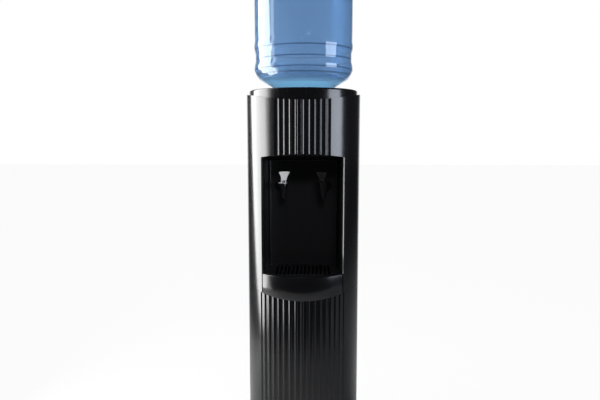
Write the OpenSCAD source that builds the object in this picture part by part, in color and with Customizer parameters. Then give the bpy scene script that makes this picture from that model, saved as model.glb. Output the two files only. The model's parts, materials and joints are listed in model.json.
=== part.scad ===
// Floor-standing water cooler: a half-round fluted cabinet with two lever taps in a niche, a drip tray below
// them, an inverted bottle on top and a compressor cooling circuit inside.
// Millimetres, +Z up. The round front faces -Y and the origin is on the floor under the bottle's axis.

/* [Cabinet] */
// Radius of the round front, also half the width and half the depth
cabinet_r = 158; // [154:1:166]
// Height of the top seam in the middle of the front
top_seam_z = 968; // [964:1:972]
// Height of the lower seam in the middle of the front
lower_seam_z = 446; // [440:1:450]
// Radius of the shallow arcs of both seams and of the niche's top edge
seam_arc_r = 600; // [540:10:800]
// Wall of the two moulded front panels
shell_t = 3.5; // [3.2:0.1:4]
// Wall of the moulded top rim
rim_t = 4; // [3:0.5:5]
// Width of the top rim
rim_w = 20; // [14:1:22]
// Sheet of the side, rear and base panels
sheet_t = 1.2; // [1:0.1:1.6]
// Height of the cabinet's underside above the floor
underside_z = 16; // [12:1:22]
// Depth behind the rear panel that the condenser takes
condenser_space = 28; // [26:1:32]
// Height of the rear panel's lower edge
rear_open_z = 230; // [220:5:240]
// Height of the base pan's upturned rim
pan_rim_h = 20; // [14:1:26]
// Radius of a foot
foot_r = 18; // [14:1:20]
// Radius of the thermostat's knob
knob_r = 14; // [12:0.5:16]

/* [Flutes] */
// Width of one groove at its mouth
flute_w = 12.4; // [11:0.2:13]
// Width of one sloped wall of a groove
flute_wall_w = 2.7; // [2:0.1:3.4]
// Depth of one groove
flute_depth = 2.3; // [1.6:0.1:2.4]
// Number of grooves above the niche
upper_flutes = 10; // [6:2:12]
// Angle between the grooves above the niche
upper_pitch = 5.5; // [5.3:0.1:6]
// Number of grooves on the lower panel
lower_flutes = 16; // [12:2:18]
// Angle between the grooves on the lower panel
lower_pitch = 5.8; // [5.5:0.1:6.2]

/* [Niche] */
// Width of the niche's opening
niche_w = 220; // [214:1:226]
// Height of the niche's top edge in the middle
niche_top_z = 832; // [828:1:833]
// Height of the sill, which is the top of the drip tray
sill_z = 508.5; // [500:0.5:515]
// Width of the niche's back
niche_back_w = 195; // [188:1:200]
// Place of the niche's back in the middle
niche_back_y = 15; // [10:1:18]
// How much lower the ceiling is at the back
ceiling_drop = 21; // [15:1:26]
// Wall of the liner
liner_t = 2.5; // [2:0.1:3]
// How far the liner's mouth stands inside the opening's edge
liner_inset = 2; // [1.5:0.1:3]

/* [Drip tray] */
// Height of the tray's bowl
tray_h = 42.5; // [36:0.5:48]
// Wall of the tray
tray_t = 2; // [1.6:0.1:2.4]
// Wall of the tray's curved apron
apron_t = 3; // [2.4:0.1:3.2]
// Width of the tray's front rim
tray_rim_w = 20; // [14:1:24]
// Width of the ledge under the grille
grille_ledge = 4; // [3:0.5:5]
// Thickness of the grille
grille_t = 3; // [2:0.5:4]
// How far the grille lies below the sill
grille_drop = 2.5; // [1.5:0.5:4]
// Width of one slot in the grille
slot_w = 6; // [4.5:0.5:7]
// Distance between two slots
slot_pitch = 11; // [10:0.5:12]
// Number of slots in the grille
slot_count = 14; // [10:2:16]

/* [Taps] */
// Distance of a tap's axis from the middle
tap_x = 56; // [52:1:60]
// Angle by which each tap turns towards the middle
tap_toe = 15; // [12:1:18]
// Distance of a tap's axis from the niche's back
tap_reach = 55; // [50:1:60]
// Height of the spout's mouth
spout_z = 706; // [700:1:712]
// Height of the tap body
tap_h = 41; // [40:1:44]
// Radius of the spout at its mouth
spout_r = 7; // [6.5:0.5:8]
// Radius of the tap body at its top
tap_r = 13; // [12.5:0.5:14]
// Radius of the water passage in the spout
spout_bore_r = 4.5; // [3.5:0.5:5]
// Radius of the tap's chamber
chamber_r = 8; // [7.8:0.1:8.2]
// Radius of the threaded shank
shank_r = 8; // [7:0.5:9]
// Travel of the stem from shut to open
stem_lift = 4; // [3.5:0.1:4.2]
// Turn of the lever from shut to open
lever_turn = 25; // [22:1:28]
// Width of the lever's tip
lever_tip_w = 33.5; // [30:0.5:36]
// Width of the lever's waist
lever_waist_w = 16; // [15:0.5:18]
// Length of the lever's paddle
lever_len = 24; // [20:1:28]
// Lean of the paddle towards the user
lever_lean = 18; // [12:1:24]
// Radius of a lever pin
pin_r = 1.5; // [1.4:0.1:1.8]

/* [Collar and guard] */
// Height of the collar's flat top
collar_top_z = 1000; // [996:1:1004]
// Radius of the collar
collar_r = 150; // [147:1:152]
// Radius of the rounding at the collar's edge
collar_round = 5; // [4:0.5:6]
// Wall of the collar
collar_t = 3; // [2.5:0.1:3.5]
// Radius of the hole in the collar that takes the guard
collar_hole_r = 104; // [100:1:108]
// Wall of the guard
guard_t = 2.5; // [2:0.1:3]
// Inner radius of the guard's well
well_r = 32; // [31.5:0.5:33]
// Height of the well's floor
well_floor_z = 915; // [912:1:920]
// Radius of the feed probe
probe_r = 7.5; // [6.5:0.5:8]

/* [Bottle] */
// Radius of the bottle's wall
bottle_r = 134.5; // [132:0.5:136]
// Height of the bottle's upper end above the floor
bottle_top_z = 1418; // [1400:1:1440]
// Wall of the bottle
bottle_t = 1.5; // [1.2:0.1:2]
// Radius of the bottle's neck
neck_r = 28; // [27:0.5:28.5]
// Height of the neck's mouth
neck_mouth_z = 929.7; // [928:0.1:932]
// Length of the cap along the neck
cap_len = 26; // [20:1:30]

/* [Reservoir] */
// Clearance between the insulation and the rear panel
foam_gap = 6.8; // [5.8:0.5:10.8]
// Distance from the reservoir's wall to the insulation's outside
foam_t = 30; // [28:1:34]
// Height of the reservoir above its floor
tank_h = 93; // [90:1:93.5]
// Wall of the reservoir
tank_t = 1.2; // [1:0.1:1.6]
// Thickness of the insulation's floor
foam_floor_t = 18; // [14:1:20]
// Height of the baffle plate above the reservoir's floor
baffle_h = 36; // [30:1:40]
// Thickness of the shelf under the reservoir
shelf_t = 2; // [1.5:0.1:2.5]

/* [Cooling circuit] */
// Radius of the evaporator and suction tube
suction_r = 3.1; // [2.8:0.1:3.3]
// Turns of the evaporator, a whole number and a half
coil_turns = 4.5; // [2.5:1:4.5]
// Distance between two turns of the evaporator
coil_pitch = 12; // [9:0.5:13]
// Radius of the condenser and discharge tube
tube_r = 2.4; // [2:0.1:2.6]
// Number of runs of the condenser, an odd number
condenser_runs = 11; // [7:2:11]
// Distance between two runs
run_pitch = 50; // [46:1:52]
// Height of the condenser's lowest run
condenser_low_z = 300; // [290:5:310]
// Distance from the condenser's bends to the cabinet's side
condenser_margin = 58; // [54:1:68]
// Thickness of one condenser wire
wire_t = 1.6; // [1.2:0.1:2]
// Number of upright wires on each side of the condenser
wire_count = 16; // [12:2:16]
// Distance between two wires
wire_pitch = 12; // [10:0.5:12.5]
// Radius of the compressor's pot
pot_r = 60; // [56:1:62]
// Half height of the compressor's pot
pot_half_h = 75; // [70:1:78]
// Radius of a compressor bolt
bolt_r = 3; // [2.5:0.5:4]

/* [Power inlet] */
// Width of the inlet's socket
inlet_w = 24; // [22:0.5:26]
// Height of the inlet's socket
inlet_h = 16.4; // [15:0.2:18]
// Depth of the inlet's socket
inlet_depth = 17; // [14:1:18]
// Distance between the inlet's two screws
inlet_screws = 40; // [38:1:44]

/* [Hidden] */
$fn = 72;
seat = 0.3;
seam_gap = 0.5;
slide_gap = 0.8;
run_fit = 0.05;
cut = 1;

side_end_y = -2;
shell_in_r = cabinet_r - shell_t;
rim_in_r = cabinet_r - rim_w;
rim_slab_z = top_seam_z - rim_t;
side_in_x = cabinet_r - sheet_t;
rear_out_y = cabinet_r - condenser_space;
rear_in_y = rear_out_y - sheet_t;
top_rear_y = cabinet_r - 2;
flange_in_y = rear_in_y - seat - sheet_t;
side_flange_w = 20;
inner_r = shell_in_r - seat;
inner_x = side_in_x - seat;
pan_top_z = underside_z + sheet_t;
cabinet_high_z = top_seam_z + 60;

screw_r = 1.8;
screw_head_r = 4;
screw_head_h = 2;
screw_len = 8;
screw_hole_r = screw_r + 0.2;
head_gap = 0.2;
rear_screw_x = cabinet_r - side_flange_w / 2 - 2;
rear_screw_rows = [for (k = [0:3]) rear_open_z + 20 + 230 * k];

inlet_x = cabinet_r - 66;
inlet_z = rear_open_z + 32;
inlet_wall = 1.6;
inlet_flange_t = 2;
inlet_flange_h = 24;
inlet_body_d = 24;
inlet_face_y = rear_out_y + seat + inlet_flange_t;
inlet_bottom_y = inlet_face_y - inlet_depth;
pin_d = 2;
pin_h = 4;
pin_pitch = 7;

thermostat_x = cabinet_r - 48;
thermostat_z = 915;
thermostat_size = 32;
thermostat_d = 24;
shaft_r = 3;
shaft_start_y = rear_in_y - 11;
knob_y = rear_out_y + 0.6;
knob_h = 13;
vent_w = 16;
vent_h = 5;

mouth_y = sqrt(cabinet_r * cabinet_r - niche_w * niche_w / 4);
back_r = tap_x / sin(tap_toe) + tap_reach;
back_mid_y = niche_back_y - back_r;
mouth_half_w = niche_w / 2 - liner_inset;
draft = (mouth_half_w - niche_back_w / 2) / (niche_back_y + mouth_y);
ceiling_angle = atan(ceiling_drop / (niche_back_y + cabinet_r));

apron_in_r = cabinet_r - apron_t;
tray_floor_z = sill_z - tray_h;
liner_floor_z = tray_floor_z - seat;
pocket_front_r = cabinet_r - tray_rim_w;
grille_top_z = sill_z - grille_drop;
grille_seat_z = grille_top_z - grille_t - seat;
slot_len = 100;
slot_front_y = 50 - cabinet_r;

tap_axis = [tap_x, back_mid_y + (back_r - tap_reach) * cos(tap_toe)];
tap_top_z = spout_z + tap_h;
shank_z = tap_top_z - 11;
chamber_floor_z = spout_z + 20;
flange_gap = seat + tap_r * tap_r / (2 * back_r);
tail_r = 5.5;
hose_in_r = 6.2;
hose_out_r = 8.4;
washer_t = 1.5;
nut_t = 7;
washer_y = tap_reach + liner_t + 2 * seat;
nut_y = washer_y + washer_t + seat;
shank_end_y = nut_y + nut_t + 2;
tail_end_y = shank_end_y + 16;
pivot_back = stem_lift / (2 * sin(lever_turn / 2));
pivot_z = tap_top_z + 12;
stem_r = 2.5;
head_r = 4.5;
bonnet_z = tap_top_z + seat;
bonnet_flange_t = 2.2;
bonnet_plug_h = 4.3;
cup_r = 6.5;
cup_z = chamber_floor_z + seat;
cup_h = 4.7;
spring_wire_r = 0.6;
spring_r = 6.2;
hub_r = 3.8;
hub_w = 8.6;
ear_t = 2.5;
ear_r = 3.2;
paddle_t = 3;

foam_r = rear_in_y - foam_gap;
tank_r = foam_r - foam_t;
coil_steps = 24;
coil_r = (tank_r + seat + suction_r) / cos(180 / coil_steps);
shelf_z = niche_top_z + liner_t + 2;
shelf_front_y = 68 - cabinet_r;
shelf_rear_y = rear_in_y - 30.8;
shelf_lip = 20;
foam_z = shelf_z + shelf_t + seat;
foam_in_r = coil_r + suction_r + 0.7;
tank_z = foam_z + foam_floor_t + seat;
tank_top_z = tank_z + tank_h;
foam_top_z = tank_top_z - tank_t - seat;
tank_flange_r = foam_r - 12;
outlet = (tank_r - 17) * [0.8, 0.6];
outlet_end_z = shelf_z - 24;
baffle_t = 2;
baffle_post_r = tank_r - 22;
baffle_hole_r = tank_r - 8;
baffle_z = tank_z + tank_t + baffle_h;
gasket_t = 1.5;
gasket_z = tank_top_z + seat;
lid_z = gasket_z + gasket_t + seat;
lid_t = 3;

shoulder_r = 90.8;
shoulder_z = 1012;
shoulder_slope = tan(30);
ring_out = 26;
ring_in = 40;
dish_in = 52;
dish_drop = 6;
guard_sink = 10;
guard_ledge = 5;
guard_flange_z = collar_top_z - guard_sink + seat;
guard_flange_t = 3;
guard_flange_top_z = guard_flange_z + guard_flange_t;
cone_gap = seat / cos(30);
cone_out_r = shoulder_r - (shoulder_z - cone_gap - guard_flange_top_z) / shoulder_slope;
cone_in_z = shoulder_z - cone_gap - (shoulder_r - well_r) * shoulder_slope;
probe_top_z = well_floor_z + 47;
cap_t = 2;

coil_low_z = tank_z + 8;
coil_high_z = coil_low_z + coil_turns * coil_pitch;
tail_y = rear_in_y - 28.8;
suction_y = rear_in_y - 16.8;
wire_rear_y = cabinet_r - wire_t;
tube_y = wire_rear_y - 0.2 - tube_r;
wire_front_y = tube_y - tube_r - 0.2 - wire_t;
condenser_high_z = condenser_low_z + (condenser_runs - 1) * run_pitch;
bracket_x = 78;
condenser_reach = cabinet_r - condenser_margin;
line_x = condenser_reach + 12;
pot_y = 52;
pot_z = pan_top_z + 2 * seat + 20 + pot_half_h - 13;
grommet_h = 17.5;
grommet_z = pan_top_z + seat;
bracket_plate_z = grommet_z + grommet_h + seat;
bracket_plate_t = 3;
plate_half_w = 85;
plate_half_d = 55;
plate_edge = 10;
bolt_places = [for (x = [-1, 1], y = [-1, 1])
    [x * (plate_half_w - plate_edge), pot_y + y * (plate_half_d - plate_edge)]];
starter = [pot_r + 3.4, pot_y - 20, pot_z - 30];
starter_size = [32, 40, 60];
drier = [line_x, tail_y];
drier_r = 9;
drier_low_z = 110;
drier_high_z = 190;
drier_lead = 16;
liquid_z = 205;
capillary_r = 1.2;
capillary_x = line_x + 18;
capillary_y = rear_in_y - 22.8;
lead_r = 3.5;
foot_places = [for (x = [-1, 1]) each [
    [x * (cabinet_r - 58), 78 - cabinet_r],
    [x * (cabinet_r - 38), rear_out_y - 34]
]];
foot_stem_r = 4;

graphite = [0.13, 0.13, 0.15];
black = [0.05, 0.05, 0.06];
pale = [0.85, 0.86, 0.86];
copper = [0.72, 0.42, 0.28];
steel = [0.72, 0.73, 0.75];
zinc = [0.6, 0.62, 0.64];
water_blue = [0.45, 0.66, 0.85, 0.6];

// Vectors and routes

function unit(v) = v / norm(v);

// Points of a quadratic curve that rounds the corner b between a and c
function bend(a, b, c, r, n = 5) =
    let (p = b + r * unit(a - b), q = b + r * unit(c - b))
    [for (i = [0:n]) let (t = i / n) (1 - t) * (1 - t) * p + 2 * t * (1 - t) * b + t * t * q];

// A route through the points with each inner corner rounded
function route(points, r) = concat(
    [points[0]],
    [for (k = [1:len(points) - 2]) each bend(points[k - 1], points[k], points[k + 1], r)],
    [points[len(points) - 1]]
);

// A tube swept along a path, with a passage of radius bore if that is above 0; across is a direction that the
// path never follows
module swept(path, r, across, sides = 8, bore = 0) {
    n = len(path);
    ends = n * sides;
    function ring(k, radius) =
        let (
            ahead = path[min(k + 1, n - 1)] - path[max(k - 1, 0)],
            u = unit(cross(ahead, across)),
            v = unit(cross(ahead, u))
        )
        [for (i = [0:sides - 1]) path[k] + radius * (cos(360 * i / sides) * u + sin(360 * i / sides) * v)];
    points = [for (radius = bore > 0 ? [r, bore] : [r], k = [0:n - 1]) each ring(k, radius)];
    outside = [for (k = [0:n - 2], i = [0:sides - 1])
        let (a = k * sides + i, b = k * sides + (i + 1) % sides)
        each [[a, b + sides, b], [a, a + sides, b + sides]]
    ];
    inside = [for (f = outside) [f[0] + ends, f[2] + ends, f[1] + ends]];
    last = (n - 1) * sides;
    plain_ends = [[for (i = [0:sides - 1]) i], [for (i = [sides - 1:-1:0]) last + i]];
    open_ends = [for (i = [0:sides - 1]) let (j = (i + 1) % sides) each [
        [i, j, ends + j], [i, ends + j, ends + i],
        [last + i, ends + last + j, last + j], [last + i, ends + last + i, ends + last + j]
    ]];
    faces = bore > 0 ? concat(outside, inside, open_ends) : concat(outside, plain_ends);
    polyhedron(points, faces, convexity = 10);
}

// Shared shapes

// Everything above an arc that is lowest in the middle of the front and runs straight along y
module above_arc(mid_z) {
    translate([0, 0, mid_z + seam_arc_r]) rotate([90, 0, 0])
        cylinder(h = 3 * cabinet_r, r = seam_arc_r, center = true, $fn = 360);
}

module block(low, high) {
    translate(low) cube(high - low);
}

// A ring of the round front, from its middle back to the side panels
module front_ring(out_r, in_r, low_z, high_z) {
    intersection() {
        translate([0, 0, low_z]) difference() {
            cylinder(h = high_z - low_z, r = out_r, $fn = 180);
            translate([0, 0, -cut]) cylinder(h = high_z - low_z + 2 * cut, r = in_r, $fn = 180);
        }
        block([-cabinet_r - cut, -cabinet_r - cut, low_z - cut], [cabinet_r + cut, side_end_y, high_z + cut]);
    }
}

// The cutters of a field of grooves on the front, each with a flat floor and two sloped walls
module flutes(count, pitch, low_z, high_z) {
    mouth = flute_w / 2 + flute_wall_w;
    floor_half = flute_w / 2 - flute_wall_w;
    for (i = [0:count - 1])
        rotate([0, 0, (i - (count - 1) / 2) * pitch])
            translate([0, 0, low_z]) linear_extrude(high_z - low_z) polygon([
                [-mouth, -cabinet_r - flute_depth], [mouth, -cabinet_r - flute_depth],
                [floor_half, flute_depth - cabinet_r], [-floor_half, flute_depth - cabinet_r]
            ]);
}

// Plan of the niche, drawn in by inset; its back is an arc that faces each tap squarely
module niche_plan(inset) {
    front_y = -cabinet_r - 10;
    rear_y = niche_back_y + 10;
    front_w = mouth_half_w - draft * (front_y + mouth_y) - inset;
    rear_w = niche_back_w / 2 - draft * (rear_y - niche_back_y) - inset;
    intersection() {
        polygon([[-front_w, front_y], [front_w, front_y], [rear_w, rear_y], [-rear_w, rear_y]]);
        translate([0, back_mid_y]) circle(r = back_r - inset, $fn = 180);
    }
}

module niche_block(inset, low_z, high_z) {
    translate([0, 0, low_z]) linear_extrude(high_z - low_z) niche_plan(inset);
}

// Everything below the niche's sloped ceiling, raised by lift
module below_ceiling(lift) {
    translate([0, niche_back_y, niche_top_z - ceiling_drop + lift]) rotate([-ceiling_angle, 0, 0])
        block([-cabinet_r, -2 * cabinet_r, -2 * cabinet_r - sill_z], [cabinet_r, cabinet_r, 0]);
}

// Plan of the cabinet's inside, for the base pan and the shelf
module inside_plan(inset, front_y, rear_y) {
    intersection() {
        circle(r = inner_r - inset, $fn = 180);
        translate([-cabinet_r, front_y]) square([2 * cabinet_r, -front_y + 0.01]);
    }
    translate([-inner_x + inset, 0]) square([2 * (inner_x - inset), rear_y]);
}

// Puts a shape drawn around a tap's axis, with the niche's back at +y, at the left or right tap
module at_tap(side) {
    translate([side * tap_axis[0], tap_axis[1], 0]) rotate([0, 0, -side * tap_toe]) children();
}

// Cabinet

module base_pan() color(zinc) difference() {
    translate([0, 0, underside_z]) linear_extrude(pan_rim_h) inside_plan(0, -cabinet_r, rear_in_y);
    translate([0, 0, pan_top_z]) linear_extrude(pan_rim_h)
        inside_plan(sheet_t, -cabinet_r, rear_in_y - sheet_t);
    for (p = foot_places)
        translate([p[0], p[1], underside_z - cut]) cylinder(h = sheet_t + 2 * cut, r = foot_stem_r + seat);
    for (p = bolt_places)
        translate([p[0], p[1], underside_z - cut]) cylinder(h = sheet_t + 2 * cut, r = bolt_r + seat);
}

module foot() {
    rotate_extrude() polygon([
        [0, 0], [foot_r - 1, 0], [foot_r, 1],
        [foot_r - 2, underside_z - seat], [foot_stem_r, underside_z - seat],
        [foot_stem_r, pan_top_z + 4], [0, pan_top_z + 4]
    ]);
}

module foot_set() color(black)
    for (p = foot_places) translate([p[0], p[1], 0]) foot();

// A round hole through an upright sheet whose front face is at y
module sheet_hole(x, y, z, r) {
    translate([x, y - cut, z]) rotate([-90, 0, 0]) cylinder(h = sheet_t + 2 * cut, r = r);
}

module side_panel(side) color(graphite) difference() {
    mirror([side > 0 ? 0 : 1, 0, 0]) {
        block([side_in_x, side_end_y + seat, underside_z],
            [cabinet_r, rear_in_y - seat, cabinet_high_z]);
        block([cabinet_r - side_flange_w, flange_in_y, underside_z + pan_rim_h + seat],
            [cabinet_r - 0.01, rear_in_y - seat, cabinet_high_z]);
    }
    above_arc(rim_slab_z - seat);
    for (z = rear_screw_rows) sheet_hole(side * rear_screw_x, flange_in_y, z, screw_hole_r);
}

module rear_panel() color(zinc) difference() {
    block([-side_in_x - 0.4, rear_in_y, rear_open_z], [side_in_x + 0.4, rear_out_y, cabinet_high_z]);
    above_arc(rim_slab_z - seat);
    for (x = [-rear_screw_x, rear_screw_x], z = rear_screw_rows) sheet_hole(x, rear_in_y, z, screw_hole_r);
    for (dx = [-inlet_screws / 2, inlet_screws / 2])
        sheet_hole(inlet_x + dx, rear_in_y, inlet_z, screw_hole_r);
    inlet_block(inlet_wall + 0.5, rear_in_y - cut, rear_out_y + cut);
    sheet_hole(thermostat_x, rear_in_y, thermostat_z, shaft_r + 2);
    for (i = [0:4])
        block([(1.5 * i - 4) * vent_w, rear_in_y - cut, thermostat_z - vent_h],
            [(1.5 * i - 3) * vent_w, rear_out_y + cut, thermostat_z]);
}

module screw_at(x, y, z) {
    translate([x, y, z]) rotate([90, 0, 0]) cylinder(h = screw_len, r = screw_r);
    translate([x, y, z]) rotate([-90, 0, 0]) cylinder(h = screw_head_h, r = screw_head_r);
}

module panel_screws() color(steel) {
    for (x = [-rear_screw_x, rear_screw_x], z = rear_screw_rows)
        screw_at(x, rear_out_y + head_gap, z);
    for (dx = [-inlet_screws / 2, inlet_screws / 2])
        screw_at(inlet_x + dx, inlet_face_y + head_gap, inlet_z);
}

module top_frame() color(graphite) difference() {
    intersection() {
        block([-cabinet_r, side_end_y + seat, rim_slab_z - cut], [cabinet_r, top_rear_y, cabinet_high_z]);
        above_arc(rim_slab_z);
    }
    above_arc(top_seam_z);
    translate([0, 0, rim_slab_z - cut]) cylinder(h = cabinet_r, r = rim_in_r, $fn = 180);
}

// Half section of the collar's outside, drawn in by inset
module collar_section(inset) {
    low_z = top_seam_z - 5 - inset;
    in_r = collar_hole_r + inset;
    translate([in_r, low_z]) square([collar_r - collar_round - in_r, collar_top_z - inset - low_z]);
    translate([in_r, low_z]) square([collar_r - inset - in_r, collar_top_z - collar_round - low_z]);
    translate([collar_r - collar_round, collar_top_z - collar_round])
        circle(r = collar_round - inset, $fn = 48);
}

module collar() color(graphite) intersection() {
    ledge_low_z = guard_flange_z - seat - collar_t;
    rotate_extrude($fn = 180) {
        difference() {
            collar_section(0);
            collar_section(collar_t);
            translate([collar_hole_r - cut, 0]) square([collar_t + 2 * cut, ledge_low_z]);
        }
        translate([collar_hole_r - guard_ledge, ledge_low_z]) square([guard_ledge + collar_t / 2, collar_t]);
    }
    above_arc(top_seam_z + seat);
}

module front_upper_shell() color(graphite) intersection() {
    difference() {
        union() {
            front_ring(cabinet_r, shell_in_r, lower_seam_z - cut, cabinet_high_z);
            intersection() {
                front_ring(cabinet_r - 0.5, rim_in_r, rim_slab_z - cut, cabinet_high_z);
                above_arc(rim_slab_z);
            }
        }
        above_arc(top_seam_z);
        flutes(upper_flutes, upper_pitch, niche_top_z - 18, cabinet_high_z + cut);
        intersection() {
            block([-niche_w / 2, -cabinet_r - 10, lower_seam_z - 10], [niche_w / 2, 0, niche_top_z + 10]);
            translate([0, 0, niche_top_z - seam_arc_r]) rotate([90, 0, 0])
                cylinder(h = 3 * cabinet_r, r = seam_arc_r, center = true, $fn = 360);
        }
    }
    above_arc(lower_seam_z);
}

module front_lower_panel() color(graphite) difference() {
    front_ring(cabinet_r, shell_in_r, underside_z - 2, lower_seam_z + 40);
    above_arc(lower_seam_z - seam_gap);
    flutes(lower_flutes, lower_pitch, underside_z - 2 - cut, lower_seam_z + 40 + cut);
}

module niche_liner() color(black) difference() {
    union() {
        intersection() {
            niche_block(-liner_t, liner_floor_z - liner_t, niche_top_z + 20);
            below_ceiling(liner_t);
            translate([0, 0, liner_floor_z - liner_t]) cylinder(h = 500, r = inner_r, $fn = 180);
        }
        intersection() {
            front_ring(inner_r - 0.01, inner_r - liner_t, liner_floor_z - liner_t, niche_top_z + 10);
            block([-niche_w / 2 - 8, -cabinet_r, liner_floor_z - liner_t],
                [niche_w / 2 + 8, 0, niche_top_z + 10]);
        }
    }
    intersection() {
        niche_block(0, liner_floor_z, niche_top_z + 10);
        below_ceiling(0);
    }
    for (side = [-1, 1]) at_tap(side)
        translate([0, tap_reach - 3, shank_z]) rotate([-90, 0, 0])
            cylinder(h = liner_t + 8, r = shank_r + seat);
}

// Drip tray

module drip_tray() color(graphite) difference() {
    union() {
        intersection() {
            front_ring(cabinet_r, apron_in_r, lower_seam_z - cut, sill_z);
            block([-niche_w / 2 + seam_gap, -cabinet_r - cut, 0], [niche_w / 2 - seam_gap, 0, sill_z + cut]);
            above_arc(lower_seam_z);
        }
        intersection() {
            niche_block(slide_gap, tray_floor_z, sill_z - 0.01);
            cylinder(h = sill_z + 10, r = apron_in_r + 0.5, $fn = 180);
        }
    }
    intersection() {
        niche_block(slide_gap + tray_t, grille_seat_z, sill_z + cut);
        cylinder(h = sill_z + 10, r = pocket_front_r, $fn = 180);
    }
    intersection() {
        niche_block(slide_gap + tray_t + grille_ledge, tray_floor_z + tray_t, sill_z + cut);
        cylinder(h = sill_z + 10, r = pocket_front_r - grille_ledge, $fn = 180);
    }
}

module drip_grille() color(black) difference() {
    intersection() {
        niche_block(slide_gap + tray_t + seam_gap, grille_seat_z + seat, grille_top_z);
        cylinder(h = sill_z + 10, r = pocket_front_r - seam_gap, $fn = 180);
    }
    for (i = [0:slot_count - 1])
        translate([(i - (slot_count - 1) / 2) * slot_pitch - slot_w / 2, slot_front_y, grille_seat_z])
            cube([slot_w, slot_len, grille_t + 2 * cut]);
}

// Reservoir

module tank_shelf() color(zinc) difference() {
    union() {
        translate([0, 0, shelf_z]) linear_extrude(shelf_t) inside_plan(0, shelf_front_y, shelf_rear_y);
        for (side = [-1, 1])
            block([side * (inner_x - shelf_t / 2) - shelf_t / 2, 5, shelf_z - shelf_lip],
                [side * (inner_x - shelf_t / 2) + shelf_t / 2, shelf_rear_y, shelf_z + 0.5]);
    }
    for (side = [-1, 1])
        translate([side * outlet[0], outlet[1], shelf_z - cut])
            cylinder(h = shelf_t + 2 * cut, r = tail_r + 1.5);
}

module insulation() color([0.93, 0.93, 0.9]) difference() {
    translate([0, 0, foam_z]) cylinder(h = foam_top_z - foam_z, r = foam_r, $fn = 120);
    translate([0, 0, tank_z - seat]) cylinder(h = tank_h + 10, r = foam_in_r, $fn = 120);
    for (side = [-1, 1]) {
        translate([side * outlet[0], outlet[1], foam_z - cut]) cylinder(h = 30, r = tail_r + 1);
        translate([side * coil_r, 0, side > 0 ? coil_low_z : coil_high_z]) rotate([-90, 0, 0])
            cylinder(h = foam_r, r = suction_r + 1);
    }
}

module reservoir() color(steel) difference() {
    union() {
        translate([0, 0, tank_z]) cylinder(h = tank_h, r = tank_r, $fn = 120);
        translate([0, 0, tank_top_z - tank_t]) cylinder(h = tank_t, r = tank_flange_r, $fn = 120);
        for (side = [-1, 1])
            translate([side * outlet[0], outlet[1], outlet_end_z])
                cylinder(h = tank_z - outlet_end_z + 0.5, r = tail_r);
    }
    translate([0, 0, tank_z + tank_t]) cylinder(h = tank_h, r = tank_r - tank_t, $fn = 120);
    for (side = [-1, 1])
        translate([side * outlet[0], outlet[1], outlet_end_z - cut])
            cylinder(h = tank_z - outlet_end_z + 10, r = tail_r - 1.2);
}

module baffle() color(pale) difference() {
    union() {
        translate([0, 0, baffle_z]) cylinder(h = baffle_t, r = tank_r - tank_t - 0.5, $fn = 120);
        for (a = [90, 210, 330])
            rotate([0, 0, a]) translate([baffle_post_r, 0, tank_z + tank_t + seat])
                cylinder(h = baffle_z - tank_z - tank_t, r = 3);
        translate([-outlet[0], outlet[1], tank_z + tank_t + seat])
            cylinder(h = baffle_z - tank_z - tank_t, r = tail_r + 1);
    }
    translate([-outlet[0], outlet[1], tank_z]) cylinder(h = baffle_h + 10, r = tail_r - 1);
    for (a = [0:60:300])
        rotate([0, 0, a]) translate([baffle_hole_r, 0, baffle_z - cut])
            cylinder(h = baffle_t + 2 * cut, r = 3);
}

module flat_ring(in_r, out_r, z, h) {
    translate([0, 0, z]) difference() {
        cylinder(h = h, r = out_r, $fn = 120);
        translate([0, 0, -cut]) cylinder(h = h + 2 * cut, r = in_r, $fn = 120);
    }
}

module reservoir_gasket() color(pale)
    flat_ring(tank_r + 4, tank_flange_r - 1, gasket_z, gasket_t);

module reservoir_lid() color(pale)
    flat_ring(well_r + guard_t + 1.5, tank_flange_r, lid_z, lid_t);

// Bottle and its seat

module bottle_guard() color(black) difference() {
    union() {
        rotate_extrude($fn = 120) polygon([
            [well_r, cone_in_z], [cone_out_r, guard_flange_top_z],
            [collar_hole_r - 0.5, guard_flange_top_z],
            [collar_hole_r - 0.5, guard_flange_z], [cone_out_r + 2, guard_flange_z],
            [well_r + guard_t, cone_in_z - guard_t - 1], [well_r + guard_t, well_floor_z],
            [probe_r - 1, well_floor_z], [probe_r - 1, well_floor_z + guard_t],
            [well_r, well_floor_z + guard_t]
        ]);
        translate([0, 0, well_floor_z])
            cylinder(h = probe_top_z - 6 - well_floor_z, r = probe_r);
        translate([0, 0, probe_top_z - 6]) cylinder(h = 6, r1 = probe_r, r2 = probe_r - 4);
    }
    translate([0, 0, well_floor_z - cut]) cylinder(h = probe_top_z - 12 - well_floor_z, r = probe_r - 2.5);
    for (a = [0, 90])
        rotate([0, 0, a]) translate([0, 0, probe_top_z - 18]) cube([4 * probe_r, 3, 8], center = true);
    for (a = [0:60:300])
        rotate([0, 0, a]) translate([20, 0, well_floor_z - cut]) cylinder(h = guard_t + 2 * cut, r = 4);
}

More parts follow.
